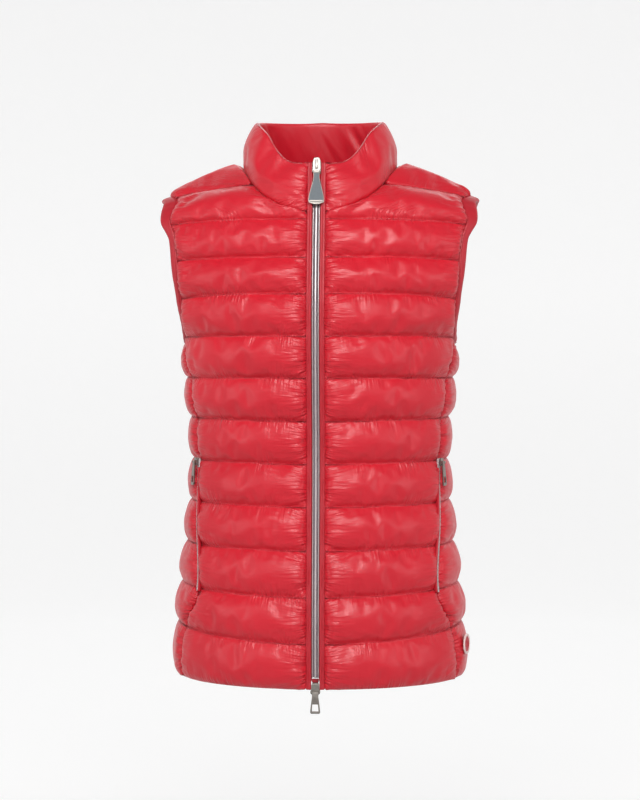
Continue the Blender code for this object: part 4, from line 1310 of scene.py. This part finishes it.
# %% Pocket zips and welts
POCKET_TOP, POCKET_BOTTOM = -343.0, -498.0
POCKET_ZIP_HALF_WIDTH = 2.0
POCKET_ZIP_OVER = 4.2
WELT_FOLD = (
    # across the pocket, above the shell, in millimetres
    (1.0, 0.4), (0.2, 2.6), (-0.2, 4.6), (-0.9, 5.8), (-1.9, 5.9), (-2.5, 4.9), (-2.4, 3.0), (-2.0, 0.8),
)
WELT_TOP = POCKET_TOP - 11.0
WELT_MIDDLE = -3.6


@cache
def beside_seam_frame(height):
    """The front side seam at a height: a point, and the directions to the back and outward."""
    row = find_root(
        lambda row: torso_point(side_seam_angle(row, 1), row).z - height, 0.0, float(TOP_ROW)
    )
    angle = side_seam_angle(row, 1)
    backwards = (torso_point(angle + 0.01, row) - torso_point(angle - 0.01, row)).normalized()
    return torso_point(angle, row), backwards, outward(angle, row)


def pocket_at(side):
    def at(distance):
        height = POCKET_TOP - distance
        point, backwards, out = beside_seam_frame(height)
        down = (beside_seam_frame(height - 3)[0] - beside_seam_frame(height + 3)[0]).normalized()
        return mirrored(side, point), mirrored(side, backwards), mirrored(side, down), mirrored(side, out)

    return at


def pocket_strip(name, side, section, bottom, top, spacing=6.0):
    count = round((top - bottom) / spacing)
    stations = []
    for i in range(count + 1):
        point, backwards, _, out = pocket_at(side)(POCKET_TOP - between(bottom, top, i / count))
        stations.append([point + backwards * across + out * level for across, level in section])
    return folded_strip(name, stations, False)


def make_pocket(side, name):
    line = {"length": POCKET_TOP - POCKET_BOTTOM, "at": pocket_at(side)}
    beads = copies(
        f"pocket_beads_{name}", bead_shape(2.3, 1.15, 1.1),
        coil_frames(line, POCKET_ZIP_HALF_WIDTH, POCKET_ZIP_OVER - 0.75),
    )
    bed_section = ((-2.0, 0.2), (-2.0, 2.6), (-1.2, 3.0), (1.2, 3.0), (2.0, 2.6), (2.0, 0.2))
    bed = pocket_strip(f"pocket_bed_{name}", side, bed_section, POCKET_BOTTOM, POCKET_TOP)
    coils = join([beads, bed], f"pocket_coils_{name}")
    dress(coils, f"pocket_zip_{name}", CORD)
    welt_section = [(WELT_MIDDLE + 0.9 + across, level) for across, level in WELT_FOLD]
    welt = pocket_strip(f"folded_welt_{name}", side, welt_section, POCKET_BOTTOM, WELT_TOP)
    dress(welt, f"pocket_welt_{name}", BINDING)
    wide = section_length([Vector((x, y, 0)) for x, y in welt_section])
    print(coils.name, len(coils.data.polygons), "faces; welt", f"{wide:.1f} mm wide")


for vest_side, side_name in SIDES:
    make_pocket(vest_side, side_name)

# %% [markdown]
# ## Sliders and pulls
#
# Zip sliders are cast in zinc alloy and plated with nickel. Each one is a top and a bottom plate on
# a post, with two cheeks that hold a pin, and the pull hangs on the pin. Every plate starts as a
# primitive grid whose rows are pulled to the plate's outline, is extruded to its thickness, and is
# bevelled. A pull's frame is cut through by deleting the faces of its window on both sides and
# bridging the two holes.

# %% A plate, a window and a recess
BEVEL = 0.28


def shaped_plate(name, outline, thickness, low, columns=(-1, -0.66, 0, 0.66, 1)):
    """outline is (distance down, half width) from the top, low the level of its underside."""
    deselect_all()
    rows = len(outline) - 1
    bpy.ops.mesh.primitive_grid_add(x_subdivisions=len(columns) - 1, y_subdivisions=rows, size=2)
    plate = bpy.context.object
    plate.name = plate.data.name = name
    for vert in plate.data.vertices:
        column = round((vert.co.x + 1) / 2 * (len(columns) - 1))
        down, half = outline[round((1 - vert.co.y) / 2 * rows)]
        vert.co = (columns[column] * half * MM, -down * MM, low * MM)
    bpy.ops.object.mode_set(mode="EDIT")
    bpy.ops.mesh.select_all(action="SELECT")
    bpy.ops.mesh.extrude_region_move(TRANSFORM_OT_translate={"value": (0, 0, thickness * MM)})
    bpy.ops.mesh.select_all(action="SELECT")
    bpy.ops.mesh.normals_make_consistent(inside=False)
    bpy.ops.object.mode_set(mode="OBJECT")
    return plate


def edit_faces(piece, chosen, change):
    """Runs change in edit mode with the faces selected for which chosen(centre, normal) holds."""
    deselect_all()
    bpy.context.view_layer.objects.active = piece
    piece.select_set(True)
    bpy.context.tool_settings.mesh_select_mode = (False, False, True)
    bpy.ops.object.mode_set(mode="EDIT")
    bpy.ops.mesh.select_all(action="DESELECT")
    mesh = bmesh.from_edit_mesh(piece.data)
    for face in mesh.faces:
        face.select_set(chosen(face.calc_center_median() / MM, face.normal))
    bmesh.update_edit_mesh(piece.data)
    change()
    bpy.ops.object.mode_set(mode="OBJECT")


def cut_window(piece, top, bottom, half_width):
    def bridge():
        bpy.ops.mesh.delete(type="FACE")
        bpy.ops.mesh.select_mode(type="EDGE")
        bpy.ops.mesh.select_non_manifold()
        bpy.ops.mesh.bridge_edge_loops()

    def inside(centre, normal):
        return abs(normal.z) > 0.9 and -bottom < centre.y < -top and abs(centre.x) < half_width

    edit_faces(piece, inside, bridge)


def sink_field(piece, top, bottom, rim, depth):
    def inside(centre, normal):
        return normal.z > 0.9 and -bottom < centre.y < -top

    def sink():
        bpy.ops.mesh.inset(thickness=rim * MM, depth=-depth * MM, use_even_offset=True)

    edit_faces(piece, inside, sink)


def soften(piece, width=BEVEL, segments=2):
    bevel = piece.modifiers.new("edges", "BEVEL")
    bevel.width, bevel.segments, bevel.limit_method = width * MM, segments, "ANGLE"
    bevel.angle_limit = radians(35)
    apply_all(piece)
    deselect_all()
    piece.select_set(True)
    bpy.context.view_layer.objects.active = piece
    bpy.ops.object.shade_smooth_by_angle(angle=radians(40))
    return piece


def hardware_frame(origin, down, outwards):
    """A matrix whose Y axis points up along the zip and whose Z axis points out of the cloth."""
    across = (-down).cross(outwards).normalized()
    matrix = Matrix((across, -down, outwards)).transposed().to_4x4()
    matrix.translation = origin * MM
    return matrix


def set_in(piece, place):
    piece.data.transform(place)
    piece.data.update()
    return piece


# %% Plated zinc and enamel
# Nickel plate on a polished casting: a mirror, softened by fine scratches and grime from handling.
METAL = patterned(
    "polished_nickel_plate", ("#A39D97", "#8C8680"),
    (NOISE, 2500.0, 0.15, 0.02, {"Detail": 3.0}),
    (NOISE, 350.0, 0, 0, {"Detail": 2.0}),
    roughness=(0.3, 0.5), stretch=(1.0, 1.0, 0.15), Metallic=1.0,
)
# Baked enamel in the pull's field: dark grey and satin, with a faint orange peel.
ENAMEL = patterned("baked_grey_enamel", ("#4E565C", "#5F686E"), (NOISE, 900.0, 0.1, 0.03, {"Detail": 1.0}))
print("Materials so far:", ", ".join(material.name for material in bpy.data.materials))

# %% A slider's body
PULL_THICKNESS = 1.8
PIVOT_RISE = 1.4
CHEEK_HEIGHT = 2.7
CHEEK_LENGTH = 3.4


def rounded_block(name, size, centre):
    deselect_all()
    bpy.ops.mesh.primitive_cube_add(size=1)
    block = bpy.context.object
    block.name = block.data.name = name
    stretch = Matrix.Diagonal((*(Vector(size) * MM), 1))
    block.data.transform(Matrix.Translation(Vector(centre) * MM) @ stretch)
    return soften(block, min(size) * 0.3)


def slider_body(name, outline, base, thickness, bail_down, bail_half_width, place):
    """Two plates on a post, with two cheeks and the pin between them."""
    upper = min(thickness * 0.36, 2.2)
    lower = min(thickness * 0.3, 1.8)
    top = base + thickness
    waist = [(down, half * 0.96) for down, half in outline]
    parts = [
        soften(shaped_plate(name, outline, upper, top - upper), min(0.6, upper * 0.35), 3),
        soften(shaped_plate(f"{name}_under", waist, lower, base), 0.35),
    ]
    length = outline[-1][0]
    post = (outline[0][1] * 0.9, length * 0.3, thickness - upper - lower + 0.4)
    parts.append(rounded_block(f"{name}_post", post, (0, -length * 0.3, base + lower + post[2] / 2 - 0.2)))
    for side in (-1, 1):
        cheek = (1.0, CHEEK_LENGTH, CHEEK_HEIGHT + 0.5)
        centre = (side * bail_half_width, -bail_down, top + cheek[2] / 2 - 0.5)
        parts.append(rounded_block(f"{name}_cheek_{side}", cheek, centre))
    deselect_all()
    bpy.ops.mesh.primitive_cylinder_add(vertices=16, radius=0.5 * MM, depth=2 * bail_half_width * MM)
    pin = bpy.context.object
    pin_place = Matrix.Translation((0, -bail_down * MM, (top + PIVOT_RISE) * MM))
    pin.data.transform(pin_place @ Matrix.Rotation(pi / 2, 4, "Y"))
    parts.append(soften(pin, 0.1))
    return set_in(join(parts, name), place)


def finer(outline, most):
    """The same outline with a point at least every few millimetres."""
    points = [outline[0]]
    for (down, half), (next_down, next_half) in zip(outline, outline[1:]):
        steps = max(1, round((next_down - down) / most))
        for step in range(1, steps + 1):
            share = step / steps
            points.append((between(down, next_down, share), between(half, next_half, share)))
    return points


print("A pull is", PULL_THICKNESS, "mm thick and its hinge is", PIVOT_RISE, "mm above the slider")

# %% The top slider and its enamelled pull
TOP_SLIDER_OUTLINE = ((0, 2.2), (1.2, 3.6), (5, 4.7), (15, 5.0), (18, 4.4), (20, 3.2))
TOP_PULL_OUTLINE = (
    (-0.9, 3.5), (8, 3.5), (11.5, 4.0), (29, 8.2), (35.5, 9.1), (38, 8.6), (39.6, 5.5), (40.2, 2.0)
)
TOP_SLIDER_BASE, TOP_SLIDER_THICKNESS = -2.4, 6.4
TOP_BAIL_DOWN, FRONT_BAIL_HALF_WIDTH = 17.0, 4.4
TOP_SLIDER_TOP, TOP_FRAME_DROP = 6.0, 9.0
ENAMEL_TOP, ENAMEL_BOTTOM, ENAMEL_RIM = 2.0, 38.0, 0.8


def hinge_frame(place, bail_down, height):
    return place @ Matrix.Translation((0, -bail_down * MM, height * MM))


def make_top_slider():
    collar_top, down, outwards = placket_frame(COLLAR_FRONT_TOP - TOP_FRAME_DROP)
    drop = TOP_SLIDER_TOP - COLLAR_FRONT_TOP + TOP_FRAME_DROP
    place = hardware_frame(collar_top - down * drop / (-down.z), down, outwards)
    body = slider_body(
        "zip_top_slider", TOP_SLIDER_OUTLINE, TOP_SLIDER_BASE, TOP_SLIDER_THICKNESS,
        TOP_BAIL_DOWN, FRONT_BAIL_HALF_WIDTH, place,
    )
    arch = rounded_block("arch", (3.6, 11.0, 1.5), (0, -8.5, TOP_SLIDER_BASE + TOP_SLIDER_THICKNESS + 0.4))
    body = join([body, set_in(arch, place)], body.name)
    dress(body, "top_slider", METAL)
    pivot = hinge_frame(place, TOP_BAIL_DOWN, TOP_SLIDER_BASE + TOP_SLIDER_THICKNESS + PIVOT_RISE)
    pull = shaped_plate("zip_top_pull", finer(TOP_PULL_OUTLINE, 3.0), PULL_THICKNESS, -PULL_THICKNESS / 2)
    sink_field(pull, ENAMEL_TOP, ENAMEL_BOTTOM, ENAMEL_RIM, 0.45)
    set_in(soften(pull, 0.22), pivot)
    dress(pull, "top_pull", METAL, "top_pull")
    field = [(down, half - ENAMEL_RIM - 0.05) for down, half in finer(TOP_PULL_OUTLINE, 3.0)]
    field = [(max(down, ENAMEL_TOP + ENAMEL_RIM), half) for down, half in field if ENAMEL_TOP < down < 37]
    enamel = shaped_plate("top_pull_enamel", field, 0.35, PULL_THICKNESS / 2 - 0.6)
    set_in(soften(enamel, 0.08, 1), pivot)
    enamel.data.materials.append(ENAMEL)
    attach(enamel, "top_pull")


make_top_slider()

# %% The bottom slider with its open pull, and the zip's stop
BOTTOM_SLIDER_OUTLINE = ((0, 3.4), (2, 4.4), (7.5, 4.6), (9, 5.6), (11.5, 5.6), (13, 3.6))
BOTTOM_PULL_OUTLINE = (
    (-0.9, 3.4), (6, 3.8), (13.5, 4.8), (19.5, 5.5), (21.5, 5.7), (23.2, 5.6), (24.2, 4.6),
)
BOTTOM_SLIDER_BASE, BOTTOM_SLIDER_THICKNESS = -4.0, 6.0
BOTTOM_BAIL_DOWN = 10.0


def make_bottom_slider():
    origin, down, outwards = placket_frame(STOP_BOTTOM - STRIP_GAP)
    place = hardware_frame(origin, down, outwards)
    body = slider_body(
        "zip_bottom_slider", BOTTOM_SLIDER_OUTLINE, BOTTOM_SLIDER_BASE, BOTTOM_SLIDER_THICKNESS,
        BOTTOM_BAIL_DOWN, FRONT_BAIL_HALF_WIDTH, place,
    )
    dress(body, "bottom_slider", METAL)
    pivot = hinge_frame(place, BOTTOM_BAIL_DOWN, BOTTOM_SLIDER_BASE + BOTTOM_SLIDER_THICKNESS + PIVOT_RISE)
    pull = shaped_plate("zip_bottom_pull", BOTTOM_PULL_OUTLINE, PULL_THICKNESS, -PULL_THICKNESS / 2)
    cut_window(pull, 13.5, 21.5, 3.2)
    dress(set_in(soften(pull, 0.3), pivot), "bottom_pull", METAL, "bottom_pull")
    stop = rounded_block("zip_stop_block", (8.0, 4.4, 3.6), (0, 2.7, -1.7))
    dress(set_in(stop, place), "zip_stop", TAPE)


make_bottom_slider()

# %% The pocket sliders
POCKET_SLIDER_OUTLINE = ((0, 2.4), (1.5, 3.2), (7, 3.4), (9.5, 2.6))
POCKET_PULL_OUTLINE = (
    (-0.9, 1.5), (2.5, 1.6), (5, 2.5), (11, 2.9), (17, 3.2), (20.5, 3.4), (24, 3.6), (26.5, 3.6), (27.6, 2.6)
)
POCKET_SLIDER_LIFT, POCKET_SLIDER_THICKNESS = 0.6, 2.4
POCKET_BAIL_DOWN, POCKET_BAIL_HALF_WIDTH = 5.0, 2.7
POCKET_PULL_TILT = radians(8.0)
POCKET_FALL = 30.0


def pocket_frame(side):
    origin, _, out = beside_seam_frame(POCKET_TOP)
    down = (beside_seam_frame(POCKET_TOP - POCKET_FALL)[0] - origin).normalized()
    out = (out - down * out.dot(down)).normalized()
    return hardware_frame(mirrored(side, origin), mirrored(side, down), mirrored(side, out))


def make_pocket_slider(side, name):
    place = pocket_frame(side)
    base = POCKET_ZIP_OVER + POCKET_SLIDER_LIFT
    body = slider_body(
        f"pocket_zip_slider_{name}", POCKET_SLIDER_OUTLINE, base, POCKET_SLIDER_THICKNESS,
        POCKET_BAIL_DOWN, POCKET_BAIL_HALF_WIDTH, place,
    )
    dress(body, f"pocket_slider_{name}", METAL)
    pivot = hinge_frame(place, POCKET_BAIL_DOWN, base + POCKET_SLIDER_THICKNESS + PIVOT_RISE)
    pivot = pivot @ Matrix.Rotation(side * POCKET_PULL_TILT, 4, "Z")
    pull = shaped_plate(f"pocket_zip_pull_{name}", POCKET_PULL_OUTLINE, PULL_THICKNESS, -PULL_THICKNESS / 2)
    cut_window(pull, 17, 24, 2.0)
    node = f"pocket_pull_{name}"
    dress(set_in(soften(pull, 0.28), pivot), node, METAL, node)


for vest_side, side_name in SIDES:
    make_pocket_slider(vest_side, side_name)
print("Sliders and pulls are on their hinges")

# %% [markdown]
# ## The badge
#
# Low on the wearer's left side sits a round rubber badge, moulded in two colours: a white ring with
# a raised rim, and a red middle. The real one carries a mark; this one has a plain raised ring.

# %% Moulded rubber
def make_rubber(name, pale, deep):
    """Moulded silicone rubber: satin, very slightly mottled, with the mould's fine grain."""
    return patterned(name, (pale, deep), (NOISE, 1800.0, 0.25, 0.04, {"Detail": 2.0}))


WHITE_RUBBER = make_rubber("white_silicone_rubber", "#F0D9D5", "#E6CCC8")
RED_RUBBER = make_rubber("red_silicone_rubber", "#C4182A", "#B01526")
print("Two colours of rubber")

# %% The badge's ring and middle
BADGE_ANGLE, BADGE_HEIGHT = radians(78.0), -563.0
BADGE_RADIUS, BADGE_RING, BADGE_THICKNESS = 12.0, 2.6, 1.6
BADGE_LIFT, BADGE_GAP = 0.8, 0.4


def badge_frame():
    row = find_root(lambda level: torso_point(BADGE_ANGLE, level).z - BADGE_HEIGHT, 0.0, 3.0)
    out = outward(BADGE_ANGLE, row)
    down = (Vector((0, 0, -1)) + out * out.z).normalized()
    return hardware_frame(torso_point(BADGE_ANGLE, row) + out * (SIDE_LOFT + BADGE_LIFT), down, out)


def turned(name, profile, steps=64):
    """A shape turned about Z from (radius, height) points, spun in edit mode."""
    deselect_all()
    bpy.ops.mesh.primitive_plane_add(size=1)
    piece = bpy.context.object
    piece.name = piece.data.name = name
    mesh = piece.data
    mesh.clear_geometry()
    count = len(profile)
    mesh.from_pydata([(r * MM, 0, z * MM) for r, z in profile], [(i, i + 1) for i in range(count - 1)], [])
    bpy.ops.object.mode_set(mode="EDIT")
    bpy.ops.mesh.select_all(action="SELECT")
    bpy.ops.mesh.spin(steps=steps, angle=2 * pi, center=(0, 0, 0), axis=(0, 0, 1))
    bpy.ops.mesh.select_all(action="SELECT")
    bpy.ops.mesh.remove_doubles(threshold=0.002 * MM)
    bpy.ops.mesh.normals_make_consistent(inside=False)
    bpy.ops.object.mode_set(mode="OBJECT")
    return piece


def make_badge():
    place = badge_frame()
    inner, outer = BADGE_RADIUS - BADGE_RING, BADGE_RADIUS
    rim = [
        (inner, 0.0), (inner, 1.2), (inner + 0.3, 1.5), (inner + 0.8, 1.5), (inner + 1.1, 1.15),
        (outer - 1.0, 1.15), (outer - 0.7, BADGE_THICKNESS), (outer - 0.2, 1.5), (outer, 1.1), (outer, 0.0),
        (inner, 0.0),
    ]
    ring = set_in(turned("moulded_badge_ring", rim), place)
    bpy.context.view_layer.objects.active = ring
    ring.select_set(True)
    bpy.ops.object.shade_smooth_by_angle(angle=radians(50))
    dress(ring, "badge_ring", WHITE_RUBBER)
    edge = inner - BADGE_GAP
    face = [
        (0.0, 0.7), (3.0, 0.7), (3.3, 1.1), (4.0, 1.1), (4.3, 0.7), (edge - 1.4, 0.7),
        (edge - 1.0, 1.1), (edge - 0.3, 1.1), (edge, 0.8), (edge, 0.0), (0.0, 0.0),
    ]
    middle = set_in(turned("moulded_badge_middle", face), place)
    bpy.ops.object.shade_smooth_by_angle(angle=radians(50))
    dress(middle, "badge", RED_RUBBER)


make_badge()

# %% [markdown]
# ## Stitching
#
# Each seam is a lockstitch: a row of short threads lying in the valley, about nine to the inch.
# The stitches follow the finished cloth, so their lines are read from the panels: every point keeps
# the number of its level, and a whole number is a seam.

# %% Sewing thread
STITCH_PITCH, STITCH_LENGTH, STITCH_WIDTH = 2.9, 2.3, 0.55


# Core-spun polyester thread, dyed to match: matt, with the twist showing as a fine slant.
THREAD_MATERIAL = patterned(
    "polyester_sewing_thread", ("#A81426", "#C42032"), (WAVE, 180.0, 0.4, 0.08, {}), roughness=0.6
)


def stitch_frames(line, normals, lift):
    """Stitches at an even pitch along a line of points, each lying along the line."""
    frames, due = [], STITCH_PITCH / 2
    travelled = 0.0
    for a, b, normal in zip(line, line[1:], normals):
        step = (b - a).length
        while step and due <= travelled + step:
            along = (b - a) / step
            out = (normal - along * normal.dot(along)).normalized()
            place = a + along * (due - travelled) + out * lift
            frames.append((place, along, out.cross(along), out))
            due += STITCH_PITCH
        travelled += step
    return frames


def seam_line(piece, level):
    mesh = piece.data
    shell, levels, along = (read_fact(mesh, fact) for fact in ("shell", "level", "along"))
    on_seam = np.nonzero((shell > 0.99) & (np.abs(levels - level) < 1e-4))[0]
    order = on_seam[np.argsort(along[on_seam])]
    return [mesh.vertices[i].co / MM for i in order], [mesh.vertices[i].normal.copy() for i in order]


def sew(name, frames):
    thread = copies(name, bead_shape(STITCH_LENGTH, STITCH_WIDTH, STITCH_WIDTH * 0.8), frames)
    thread.data.materials.append(THREAD_MATERIAL)
    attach(thread, "vest")
    print(name, len(frames), "stitches")


for node, panel in panels.items():
    last = {"collar": 0, "back": TOP_ROW + 1}.get(node, SIDE_TOP_ROW - 1 if "side" in node else TOP_ROW)
    seams = [frame for level in range(1, last + 1) for frame in stitch_frames(*seam_line(panel, level), 0.1)]
    if seams:
        sew(f"stitches_{node}", seams)
for side, side_name in SIDES:
    heights = [between(HEM_HEIGHT + 3, COLLAR_FRONT_TOP - 4, i / 300) for i in range(301)]
    spots = [placket_frame(height) for height in heights]
    topstitch = [point + Vector((side * 9.0, 0, 0)) for point, _, _ in spots]
    sew(f"stitches_zip_{side_name}", stitch_frames(topstitch, [out for *_, out in spots], 0.62))
    round_armhole = [mirrored(side, section[7]) for section in armhole_sections]
    outs = [mirrored(side, section[7] - section[9]).normalized() for section in armhole_sections]
    sew(f"stitches_armhole_{side_name}", stitch_frames(round_armhole, outs, 0.3))

# %% Finish: what each padded panel is, and the sizes
for node, panel in panels.items():
    dress(panel, node, NYLON)
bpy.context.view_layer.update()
shown = [piece for piece in bpy.data.objects if piece.type == "MESH" and not piece.hide_render]
print("About", sum(len(piece.data.polygons) * 2 for piece in shown), "triangles in view")
